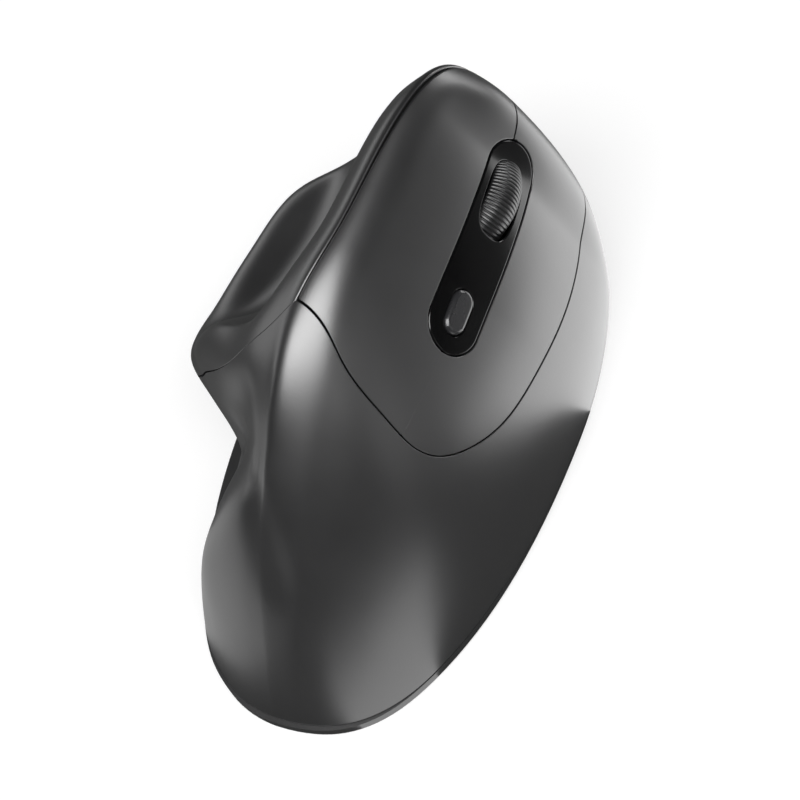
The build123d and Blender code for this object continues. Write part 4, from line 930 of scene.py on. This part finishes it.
def effect(name: str, inputs: dict[str, float], recipe: Callable[[Graph, dict], dict]) -> Tree:
    """Build a shader node group with named sockets.

    Args:
        name: the group's name.
        inputs: input names with their usual values.
        recipe: adds the nodes to the graph and gives its outputs by name.

    Returns:
        The finished group.
    """
    tree = bpy.data.node_groups.new(name, "ShaderNodeTree")
    for title, value in inputs.items():
        socket = tree.interface.new_socket(title, in_out="INPUT", socket_type="NodeSocketFloat")
        socket.default_value = value
    graph = Graph(tree)
    entry = graph.node("NodeGroupInput")
    results = recipe(graph, {title: entry.outputs[title] for title in inputs})
    for title in results:
        tree.interface.new_socket(title, in_out="OUTPUT", socket_type="NodeSocketFloat")
    graph.node("NodeGroupOutput", results)
    return tree


class Effects:
    """Effects that the finishes share, each a node group built once."""

    def __init__(self) -> None:
        """Build the groups."""
        self.grain = effect("moulded_grain", {"Scale": 2600.0, "Coarse": 0.35}, self.cells)
        self.handling = effect("handling_clouds", {"Scale": 45.0, "Low": 0.35, "High": 0.45}, self.clouds)
        # Paler convex edges: partly rubbed wear, partly a painted highlight along the edges.
        self.worn_edge = effect("worn_edge", {"Width": 0.0004, "Break": 400.0, "Gain": 2.2}, self.edges)

    @staticmethod
    def cells(graph: Graph, given: dict) -> dict:
        """Fine moulded texture: tight cells with a softer swell under them."""
        where = graph.here()
        cells = graph.node("ShaderNodeTexVoronoi", {"Vector": where, "Scale": given["Scale"]},
                           feature="SMOOTH_F1").outputs["Distance"]
        swell = graph.noise(where, graph.times(given["Scale"], given["Coarse"]), Detail=3.0)
        return {"Height": graph.maths("ADD", graph.times(cells, 0.6), graph.times(swell, 0.4))}

    @staticmethod
    def clouds(graph: Graph, given: dict) -> dict:
        """Faint clouds where hands have polished or dulled a surface."""
        broad = graph.noise(graph.here(), given["Scale"], Detail=5.0, Roughness=0.6)
        cloud = graph.spread(broad, (0.3, 0.7), (0.0, 1.0))
        span = graph.maths("SUBTRACT", given["High"], given["Low"])
        rough = graph.maths("ADD", given["Low"], graph.times(cloud, span))
        return {"Roughness": rough, "Cloud": cloud}

    @staticmethod
    def edges(graph: Graph, given: dict) -> dict:
        """A mask that is bright along convex edges, broken up by noise: rubbed wear together with a painted sheen, a
        highlight put into the colour.
        """
        soft = graph.node("ShaderNodeBevel", {"Radius": given["Width"]}, samples=4).outputs["Normal"]
        true = graph.node("ShaderNodeNewGeometry").outputs["Normal"]
        same = graph.node("ShaderNodeVectorMath", {0: soft, 1: true},
                          operation="DOT_PRODUCT").outputs["Value"]
        sharp = graph.times(graph.maths("SUBTRACT", 1.0, same), given["Gain"])
        broken = graph.spread(graph.noise(graph.here(), given["Break"]), (0.3, 0.7), (0.4, 1.0))
        edge = graph.times(sharp, broken)
        return {"Edge": graph.node("ShaderNodeClamp", {"Value": edge}).outputs[0]}


@dataclass(frozen=True)
class Finish:
    """How one material looks: its colour, gloss, fine texture, and its edges made paler for wear and for a painted
    highlight.
    """

    name: str
    colour: tuple
    low: float
    high: float
    grain_scale: float = 2600.0
    grain_height: float = 0.00001
    weave: Weave = Weave.SPARK
    pale: tuple | None = None
    cloud: float = 0.12
    # Share of the pale tone on convex edges: wear plus a painted highlight.
    wear_and_sheen: float = 0.25
    metallic: float = 0.0
    coat: float = 0.0
    coat_low: float = 0.04
    specular: float = 0.5
    density: float = 1.5
    transmission: float = 0.0
    brush_stretch: tuple = (40.0, 1.0, 40.0)
    brush_scale: float = 120.0
    smooth_strength: float = 0.25

    def material(self, effects: Effects) -> bpy.types.Material:
        """Build the procedural material.

        Args:
            effects: the shared node groups.

        Returns:
            The material, with its shader and bump.
        """
        made = bpy.data.materials.new(self.name)
        made.use_nodes = True
        made.node_tree.nodes.clear()
        graph = Graph(made.node_tree)
        grain = graph.node("ShaderNodeGroup", {"Scale": self.grain_scale}, node_tree=effects.grain)
        clouds = graph.node("ShaderNodeGroup", {"Low": self.low, "High": self.high},
                            node_tree=effects.handling)
        edge = graph.node("ShaderNodeGroup", node_tree=effects.worn_edge)
        base = (*self.colour, 1.0)
        pale = (*(self.pale or tuple(min(1.0, 2.2 * c + 0.01) for c in self.colour)), 1.0)
        drifted = graph.blend(graph.times(clouds.outputs["Cloud"], self.cloud), base, pale)
        # Convex edges are mixed towards the pale tone: rubbed wear and a painted highlight (sheen) in one.
        worn_and_sheened = graph.blend(graph.times(edge.outputs["Edge"], self.wear_and_sheen), drifted, pale)
        height = grain.outputs["Height"]
        if self.weave is Weave.BRUSHED:
            lines = graph.node("ShaderNodeMapping", {"Vector": graph.here(), "Scale": self.brush_stretch})
            height = graph.noise(lines.outputs[0], self.brush_scale, Detail=4.0)
        strength = self.smooth_strength if self.weave is Weave.SMOOTH else 1.0
        bump = graph.node("ShaderNodeBump", {"Height": height, "Strength": strength,
                                             "Distance": self.grain_height})
        graph.close(graph.node("ShaderNodeBsdfPrincipled", {
            "Base Color": worn_and_sheened, "Roughness": clouds.outputs["Roughness"], "Normal": bump.outputs[0],
            "Metallic": self.metallic, "Coat Weight": self.coat, "Coat Roughness": self.coat_low,
            "Specular IOR Level": self.specular, "IOR": self.density,
            "Transmission Weight": self.transmission}))
        return made


@dataclass
class Palette:
    """Every finish on the mouse, each made once."""

    effects: Effects = field(default_factory=Effects)
    finishes: tuple = (
        Finish("shell_charcoal", (0.006, 0.006, 0.0065), 0.35, 0.39, 2400.0, 0.000008,
               specular=1.0, density=1.8),
        Finish("thumb_charcoal", (0.006, 0.006, 0.0065), 0.35, 0.39, 2400.0, 0.000008,
               specular=1.0, density=1.8),
        Finish("gloss_black", (0.0015, 0.0015, 0.0017), 0.12, 0.16, 800.0, 0.000001, Weave.SMOOTH,
               wear_and_sheen=0.05, cloud=0.03, specular=0.6),
        Finish("button_grey", (0.02, 0.02, 0.0215), 0.24, 0.3, 2000.0, 0.000008, wear_and_sheen=0.6, specular=1.0),
        Finish("base_black", (0.007, 0.007, 0.0075), 0.36, 0.46, 1800.0, specular=1.0, density=1.7),
        Finish("glide_grey", (0.05, 0.05, 0.054), 0.3, 0.45, 900.0, weave=Weave.SMOOTH),
        Finish("tyre_rubber", (0.008, 0.008, 0.0085), 0.3, 0.4, 3000.0, 0.000006, wear_and_sheen=0.4, specular=0.9),
        Finish("hub_black", (0.012, 0.012, 0.013), 0.2, 0.3, 1500.0, 0.000006, Weave.SMOOTH),
        Finish("inner_grey", (0.06, 0.06, 0.065), 0.45, 0.6, 1500.0),
        Finish("board_green", (0.012, 0.075, 0.035), 0.25, 0.4, 700.0, weave=Weave.SMOOTH,
               pale=(0.05, 0.2, 0.1)),
        Finish("switch_black", (0.02, 0.02, 0.021), 0.35, 0.5, 1800.0),
        Finish("plunger_white", (0.72, 0.72, 0.67), 0.35, 0.45, 1500.0, 0.000005, pale=(0.8, 0.8, 0.78)),
        Finish("pin_steel", (0.5, 0.5, 0.51), 0.22, 0.38, grain_height=0.00002, weave=Weave.BRUSHED,
               metallic=1.0),
        Finish("contact_nickel", (0.62, 0.6, 0.55), 0.2, 0.36, weave=Weave.BRUSHED, metallic=1.0),
        Finish("clear_lens", (0.9, 0.92, 0.95), 0.03, 0.08, 600.0, 0.000002, Weave.SMOOTH, wear_and_sheen=0.0,
               transmission=0.9),
        Finish("cell_jacket", (0.10, 0.11, 0.12), 0.22, 0.3, 900.0, 0.000004, Weave.SMOOTH, coat=0.3),
        Finish("flat_lead", (0.55, 0.54, 0.5), 0.35, 0.5, 500.0, 0.00002, Weave.BRUSHED),
    )
    made: dict = field(default_factory=dict)

    def dress(self, piece: Piece, name: str) -> None:
        """Give a piece its finish.

        Args:
            piece: the object.
            name: the finish's name.
        """
        if name not in self.made:
            finish = next(f for f in self.finishes if f.name == name)
            self.made[name] = finish.material(self.effects)
        piece.data.materials.clear()
        piece.data.materials.append(self.made[name])


# Sub-assemblies
@dataclass
class Assembly:
    """What a sub-assembly works with, and how it hands its pieces over."""

    skin: Skin
    layout: Layout
    palette: Palette

    def place(self, piece: Piece, finish: str, body: str, slot: str, node: str) -> None:
        """Give a finished piece its looks and hand it to the frame.

        Args:
            piece: the object.
            finish: the finish's name.
            body: the CAD body it moves with.
            slot: the record's material slot.
            node: the CAD node it stands for.
        """
        self.palette.dress(piece, finish)
        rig.ride(piece, body)
        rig.slot(piece, slot)
        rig.replaces(piece, node)
        log.info("%s: %d faces, on %s", piece.name, len(piece.data.polygons), body)

    def cut(self, name: str, edges: list[Edge], *home: str, **shape: object) -> None:
        """Cut a piece from the skin and place it.

        Args:
            name: the piece's name.
            edges: the edges that trim it.
            home: its finish, body, material slot and CAD node.
            shape: how it differs from a plain piece of the wall.
        """
        self.place(SkinPiece(name, self.skin, edges, **shape).build(), *home)


@dataclass
class Shells(Assembly):
    """The palm shell, the thumb panel and the two keys, all cut from one skin."""

    seam_roll: float = 0.16
    ridge_roll: float = 0.42
    panel_roll: float = 0.3
    rim_roll: float = 0.35
    crease_roll: float = 0.1
    halfway: float = 20.0
    hairline: float = 0.01
    side_gap: float = 0.3
    palm_lean: float = 0.75
    front_open: float = 0.1
    front_rows: tuple = (-6, -3)

    def ahead(self, points: Array, distance: Array) -> Array:
        """A distance that counts only in the front half."""
        return np.where(points[:, 1] > self.halfway, distance, FAR)

    def behind(self, points: Array, distance: Array) -> Array:
        """A distance that counts only in the rear half."""
        return np.where(points[:, 1] > self.halfway, FAR, distance)

    def palm_edges(self) -> list[Edge]:
        """Edges of the dome with the right flank and the lower front."""
        lay = self.layout
        return [
            Edge(lay.floor, self.rim_roll),
            Edge(lambda p: self.ahead(p, -lay.thumb(p) - lay.seam_gap / 2), self.seam_roll),
            Edge(lambda p: self.behind(p, -lay.thumb(p)), self.crease_roll),
            Edge(lambda p: -lay.keys(p, lay.key_drop) - lay.seam_gap / 2, self.seam_roll, self.palm_lean),
        ]

    def thumb_edges(self, buttons: "SideButtons") -> list[Edge]:
        """Edges of the left wall with its scoop and wing, open for the two buttons.

        Args:
            buttons: the side buttons, which give their openings.

        Returns:
            The outer edges, then one round each opening.
        """
        lay = self.layout
        edges = [
            Edge(lay.floor, self.rim_roll),
            Edge(lambda p: self.ahead(p, lay.thumb(p) - lay.seam_gap / 2), self.seam_roll),
            Edge(lambda p: self.behind(p, lay.thumb(p)), self.crease_roll),
            Edge(lambda p: -lay.ridge_side(p) - lay.ridge_room(p), self.panel_roll),
        ]
        return edges + [Edge(lambda p, y=y: -buttons.outline(p, y) - self.side_gap, self.seam_roll)
                        for y in buttons.middles()]

    def key_edges(self, side: int) -> list[Edge]:
        """Edges of one key: side is -1 for the left one and 1 for the right."""
        lay = self.layout
        return [
            Edge(lambda p: lay.keys(p) - lay.seam_gap / 2, self.seam_roll),
            Edge(lambda p: -lay.strip(p), self.seam_roll),
            Edge(lambda p: lay.ridge_side(p) - lay.seam_gap / 3, self.ridge_roll),
            Edge(lambda p: side * lay.split(p) - self.front_seam(p), self.hairline),
        ]

    def front_seam(self, points: Array) -> Array:
        """Half width of the seam between the keys, which opens only ahead of the strip."""
        lay = self.layout
        share = ease(points[:, 1], *(lay.strip_front_y + row for row in self.front_rows))
        return (lay.seam_gap / 2 + self.front_open) * share

    def build(self, buttons: "SideButtons") -> None:
        """Make and place the four shells.

        Args:
            buttons: the side buttons, which give the panel's openings.
        """
        self.cut("palm_cover", self.palm_edges(), "shell_charcoal", "body", "shell_plastic", "palm_shell")
        self.cut("thumb_wall", self.thumb_edges(buttons),
                 "thumb_charcoal", "body", "thumb_plastic", "thumb_panel")
        for name, side in (("left_key", -1), ("right_key", 1)):
            self.cut(f"{name}_cover", self.key_edges(side), "shell_charcoal", name, "shell_plastic", name)


@dataclass
class SideButtons(Assembly):
    """The back and forward buttons on the thumb wall."""

    length: float = 12.4
    height: float = 5.0
    split_y: float = 12.7
    proud: float = 0.5
    roll: float = 0.6
    thick: float = 1.6
    wall_only: float = 5.0

    def middles(self) -> tuple[float, float]:
        """Places of the back and the forward button along the body."""
        return (self.split_y - self.length / 2, self.split_y + self.length / 2 + self.layout.seam_gap)

    def outline(self, points: Array, y: float) -> Array:
        """Distance inside one button's outline on the thumb wall."""
        lay, half = self.layout, (self.length / 2, self.height / 2)
        inside = lay.rounded(lay.side(points), (y, lay.side_level), half, self.height / 3)
        return np.minimum(inside, points @ lay.side_axis - self.wall_only)

    def build(self) -> None:
        """Make and place both buttons."""
        for name, y in zip(("back_button", "forward_button"), self.middles()):
            self.cut(f"{name}_cap", [Edge(lambda p, y=y: self.outline(p, y), self.roll)],
                     "button_grey", name, "shell_plastic", name,
                     lift=tuple(self.proud * self.layout.side_axis), depth=self.thick)


@dataclass
class Strip(Assembly):
    """The glossy strip between the keys, and the button behind the wheel."""

    roll: float = 0.35
    hole_half_width: float = 3.85
    hole_half_length: float = 7.3
    hole_fullness: float = 3.0
    hole_roll: float = 0.25
    hole_lean: float = 0.8
    dpi_hole_roll: float = 0.2
    dpi_y: float = 7.9
    dpi_length: float = 8.2
    dpi_width: float = 4.4
    dpi_proud: float = 0.65
    dpi_roll: float = 0.75
    dpi_thick: float = 2.5
    dpi_turns: int = 6
    thick: float = 1.5

    def dpi(self, points: Array) -> Array:
        """Distance inside the small button's outline."""
        return self.layout.capsule(points, self.dpi_width, self.dpi_y - self.dpi_length / 2,
                                   self.dpi_y + self.dpi_length / 2)

    def hole(self, points: Array) -> Array:
        """Distance inside the wheel's opening."""
        lay, power = self.layout, self.hole_fullness
        half = (self.hole_half_width, self.hole_half_length)
        flat = (lay.face(points) - (lay.strip_across, lay.wheel_y)) / half
        size = np.sum(np.abs(flat) ** power, axis=1) ** (1 / power)
        steep = np.abs(flat) ** (power - 1) / half
        slope = np.linalg.norm(steep, axis=1) / np.maximum(size, 0.3) ** (power - 1)
        return (1 - size) / np.maximum(slope, 0.05)

    def build(self) -> None:
        """Make and place the strip and the button."""
        lay = self.layout
        facing = lambda p: p @ lay.out_axis - lay.key_reach_down
        self.cut("gloss_strip", [
            Edge(lambda p: np.minimum(lay.strip(p) - lay.seam_gap, facing(p)), self.roll),
            Edge(lambda p: -self.hole(p), self.hole_roll, self.hole_lean),
            Edge(lambda p: -self.dpi(p) - lay.seam_gap, self.dpi_hole_roll),
        ], "gloss_black", "body", "gloss_insert", "wheel_strip", depth=self.thick)
        self.cut("dpi_cap", [Edge(lambda p: np.minimum(self.dpi(p), facing(p)), self.dpi_roll)],
                 "button_grey", "dpi_button", "shell_plastic", "dpi_button",
                 lift=tuple(self.dpi_proud * lay.out_axis), depth=self.dpi_thick, turns=self.dpi_turns)


@dataclass
class Wheel(Assembly):
    """The ribbed tyre on the scroll wheel."""

    radius: float = 11.5
    rim: float = 9.3
    width: float = 6.6
    sag: float = 1.7
    fullness: float = 2.3
    ribs: int = 92
    groove: float = 0.32
    groove_start: float = 0.1
    groove_sharpness: float = 0.8
    shoulder_groove: float = 0.2
    steps: int = 8
    tread_points: int = 25

    def profile(self) -> list[tuple[float, float, float]]:
        """Across, radius and groove share of the tyre's section, round its closed outline."""
        half = self.width / 2
        places = np.linspace(-half, half, self.tread_points)
        tread = [(x, self.radius - self.sag * abs(x / half) ** self.fullness,
                  1 - (1 - self.shoulder_groove) * abs(x / half) ** 6) for x in places]
        return tread + [(half, self.rim, 0.0), (-half, self.rim, 0.0)]

    def build(self) -> None:
        """Make and place the tyre."""
        lay = self.layout
        middle = (lay.strip_across * lay.across_axis + lay.wheel_out * lay.out_axis
                  + np.array([0, lay.wheel_y, 0]))
        section = self.profile()
        turns = self.ribs * self.steps
        vertices = []
        for k in range(turns):
            angle = 2 * math.pi * k / turns
            phase = math.cos(2 * math.pi * k / self.steps)
            share = max(0.0, (phase - self.groove_start) / (1 - self.groove_start))
            cut = self.groove * share ** self.groove_sharpness
            way = math.cos(angle) * lay.out_axis + math.sin(angle) * np.array([0, 1.0, 0])
            vertices += [middle + x * lay.across_axis + (r - cut * deep) * way for x, r, deep in section]
        size = len(section)
        faces = []
        for k in range(turns):
            ahead = (k + 1) % turns
            for i in range(size):
                j = (i + 1) % size
                faces.append([k * size + i, ahead * size + i, ahead * size + j, k * size + j])
        tyre = make_piece("ribbed_tyre", np.array(vertices), faces)
        mesh = bmesh.new()
        mesh.from_mesh(tyre.data)
        bmesh.ops.recalc_face_normals(mesh, faces=mesh.faces)
        mesh.to_mesh(tyre.data)
        mesh.free()
        self.place(tyre, "tyre_rubber", "wheel", "wheel_rubber", "wheel_tyre")


@dataclass
class CarriedOver:
    """CAD nodes that keep their shape and get a finish."""

    palette: Palette
    finishes: dict = field(default_factory=lambda: {
        "base_black": ("base_plate", "battery_door"),
        "glide_grey": ("glide_feet",),
        "hub_black": ("wheel_hub",),
        "inner_grey": ("inner_frame", "wheel_cradle", "battery_tray", "power_knob"),
        "board_green": ("click_board", "side_board", "main_board"),
        "switch_black": ("left_switch", "right_switch", "dpi_switch", "wheel_switch", "back_switch",
                         "forward_switch", "power_switch", "wheel_encoder", "sensor_chip", "receiver_cap"),
        "plunger_white": ("left_plunger", "right_plunger"),
        "pin_steel": ("door_pin", "wheel_axle", "case_screws", "frame_screws", "board_screws"),
        "contact_nickel": ("battery_contact_plus", "battery_contact_minus", "receiver_plug"),
        "clear_lens": ("sensor_lens",),
        "cell_jacket": ("battery",),
        "flat_lead": ("ribbon",),
    })

    def build(self) -> None:
        """Dress every CAD node that still shows."""
        for finish, names in self.finishes.items():
            for name in names:
                self.palette.dress(frame["nodes"][name], finish)
                log.info("%s keeps its CAD shape, in %s", name, finish)


# Stage, light and camera
@dataclass(frozen=True)
class Lamp:
    """One soft rectangular lamp that the camera doesn't see: places and sizes in metres."""

    name: str
    at: tuple
    aim: tuple
    size: tuple
    radiance: float

    def build(self) -> None:
        """Add the lamp, its power set by how bright its face is."""
        data = bpy.data.lights.new(self.name, "AREA")
        data.shape, data.size, data.size_y = "RECTANGLE", *self.size
        data.energy = self.radiance * math.pi * self.size[0] * self.size[1]
        lamp = bpy.data.objects.new(self.name, data)
        lamp.location = self.at
        lamp.rotation_euler = (Vector(self.aim) - Vector(self.at)).to_track_quat("-Z", "Y").to_euler()
        lamp.visible_camera = False
        bpy.context.scene.collection.objects.link(lamp)


@dataclass
class Studio:
    """A plain pale floor, soft light, and the camera at the photograph's angle."""

    azimuth: float = 45.0
    elevation: float = 60.0
    roll: float = -26.0
    target: tuple = (0.95, 0.25, 0.0)
    target_pixel: tuple = (401.0, 446.0)
    distance: float = 520.0
    scale: float = 5.6
    image: float = 800.0
    sensor: float = 36.0
    floor_size: float = 3.0
    floor_tones: tuple = (0.42, 0.44)
    floor_shade: float = 0.12
    floor_glow: float = 0.62
    air_light: float = 0.035
    lamps: tuple = (
        Lamp("key_softbox", (0.2, -0.36, 1.0), (0, 0, 0.03), (1.5, 0.6), 5.8),
        Lamp("left_fill", (-0.9, 0.15, 0.12), (0, 0, 0.03), (1.0, 0.35), 1.3),
        Lamp("right_fill", (1.0, -0.05, 0.2), (0, 0, 0.03), (0.5, 0.3), 0.6),
        Lamp("front_card", (0.088, 0.086, 0.0003), (0.088, 0.086, 1.0), (0.135, 0.14), 2.2),
        Lamp("heel_card", (0.055, -0.074, 0.0003), (0.055, -0.074, 1.0), (0.08, 0.07), 1.05),
        Lamp("left_card", (-0.07, -0.08, 0.0003), (-0.07, -0.08, 1.0), (0.1, 0.11), 0.7),
        Lamp("nose_card", (0.3, 0.85, 0.06), (0, 0, 0.04), (0.5, 0.25), 4.5))

    def camera(self) -> None:
        """Make the camera and give it to the scene."""
        az, el, roll = (math.radians(a) for a in (self.azimuth, self.elevation, self.roll))
        toward = Vector((math.sin(az) * math.cos(el), -math.cos(az) * math.cos(el), math.sin(el)))
        right = Vector((math.cos(az), math.sin(az), 0))
        up = toward.cross(right)
        picture_x = right * math.cos(roll) + up * math.sin(roll)
        picture_y = up * math.cos(roll) - right * math.sin(roll)
        off_x = (self.target_pixel[0] - self.image / 2) / self.scale
        off_y = (self.image / 2 - self.target_pixel[1]) / self.scale
        eye = Vector(self.target) + toward * self.distance - picture_x * off_x - picture_y * off_y
        data = bpy.data.cameras.new("photo_camera")
        data.sensor_width = self.sensor
        data.lens = self.scale * self.distance / self.image * self.sensor
        data.clip_start, data.clip_end = 0.01, 20.0
        camera = bpy.data.objects.new("photo_camera", data)
        axes = Matrix((picture_x, picture_y, toward)).transposed().to_4x4()
        camera.matrix_world = Matrix.Translation(eye * MM) @ axes
        bpy.context.scene.collection.objects.link(camera)
        bpy.context.scene.camera = camera

    def background(self) -> None:
        """White to the camera and through clear pieces, and a low even light on the object."""
        world = bpy.data.worlds.new("studio_air")
        bpy.context.scene.world = world
        world.use_nodes = True
        world.node_tree.nodes.clear()
        graph = Graph(world.node_tree)
        rays = graph.node("ShaderNodeLightPath").outputs
        seen = graph.maths("MAXIMUM", rays["Is Camera Ray"], rays["Is Transmission Ray"])
        strength = graph.spread(seen, (0.0, 1.0), (self.air_light, 1.0))
        air = graph.node("ShaderNodeBackground", {"Color": (1, 1, 1, 1), "Strength": strength})
        graph.close(air, "ShaderNodeOutputWorld")

    def floor(self) -> None:
        """A wide pale floor that stays white to the camera and keeps a faint shadow."""
        half = self.floor_size / 2 / MM
        floor = make_piece("studio_floor", np.array([(-half, -half, 0), (half, -half, 0), (half, half, 0),
                                                     (-half, half, 0)]), [[0, 1, 2, 3]])
        made = bpy.data.materials.new("floor_white")
        made.use_nodes = True
        made.node_tree.nodes.clear()
        graph = Graph(made.node_tree)
        low, high, shade = ((*[tone] * 3, 1) for tone in (*self.floor_tones, self.floor_shade))
        pale = graph.blend(graph.noise(graph.here(), 60.0), low, high)
        seen = graph.node("ShaderNodeLightPath").outputs["Is Camera Ray"]
        graph.close(graph.node("ShaderNodeBsdfPrincipled", {
            "Base Color": graph.blend(seen, shade, pale), "Roughness": 0.9, "Specular IOR Level": 0.0,
            "Emission Color": (1, 1, 1, 1),
            "Emission Strength": graph.times(seen, self.floor_glow)}))
        floor.data.materials.append(made)
        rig.stage(floor)

    def build(self) -> None:
        """Set up floor, light and camera."""
        bpy.context.scene.view_settings.view_transform = "Standard"
        self.background()
        self.floor()
        for lamp in self.lamps:
            lamp.build()
        self.camera()


def main() -> None:
    """Build the pieces in order, then the studio."""
    logging.basicConfig(level=logging.INFO, format="%(message)s")
    form = MouseForm()
    layout = Layout(form)
    skin = Skin(form)
    log.info("skin: %d rows of %d points", *skin.points.shape[:2])
    palette = Palette()
    buttons = SideButtons(skin, layout, palette)
    Shells(skin, layout, palette).build(buttons)
    buttons.build()
    Strip(skin, layout, palette).build()
    Wheel(skin, layout, palette).build()
    CarriedOver(palette).build()
    Studio().build()
    sizes = {"cad": [list(corner) for corner in cad_box], "visual": [list(corner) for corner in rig.bounds()]}
    with open("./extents.json", "w", encoding="utf-8") as out:
        json.dump(sizes, out)


if __name__ == "__main__":
    main()
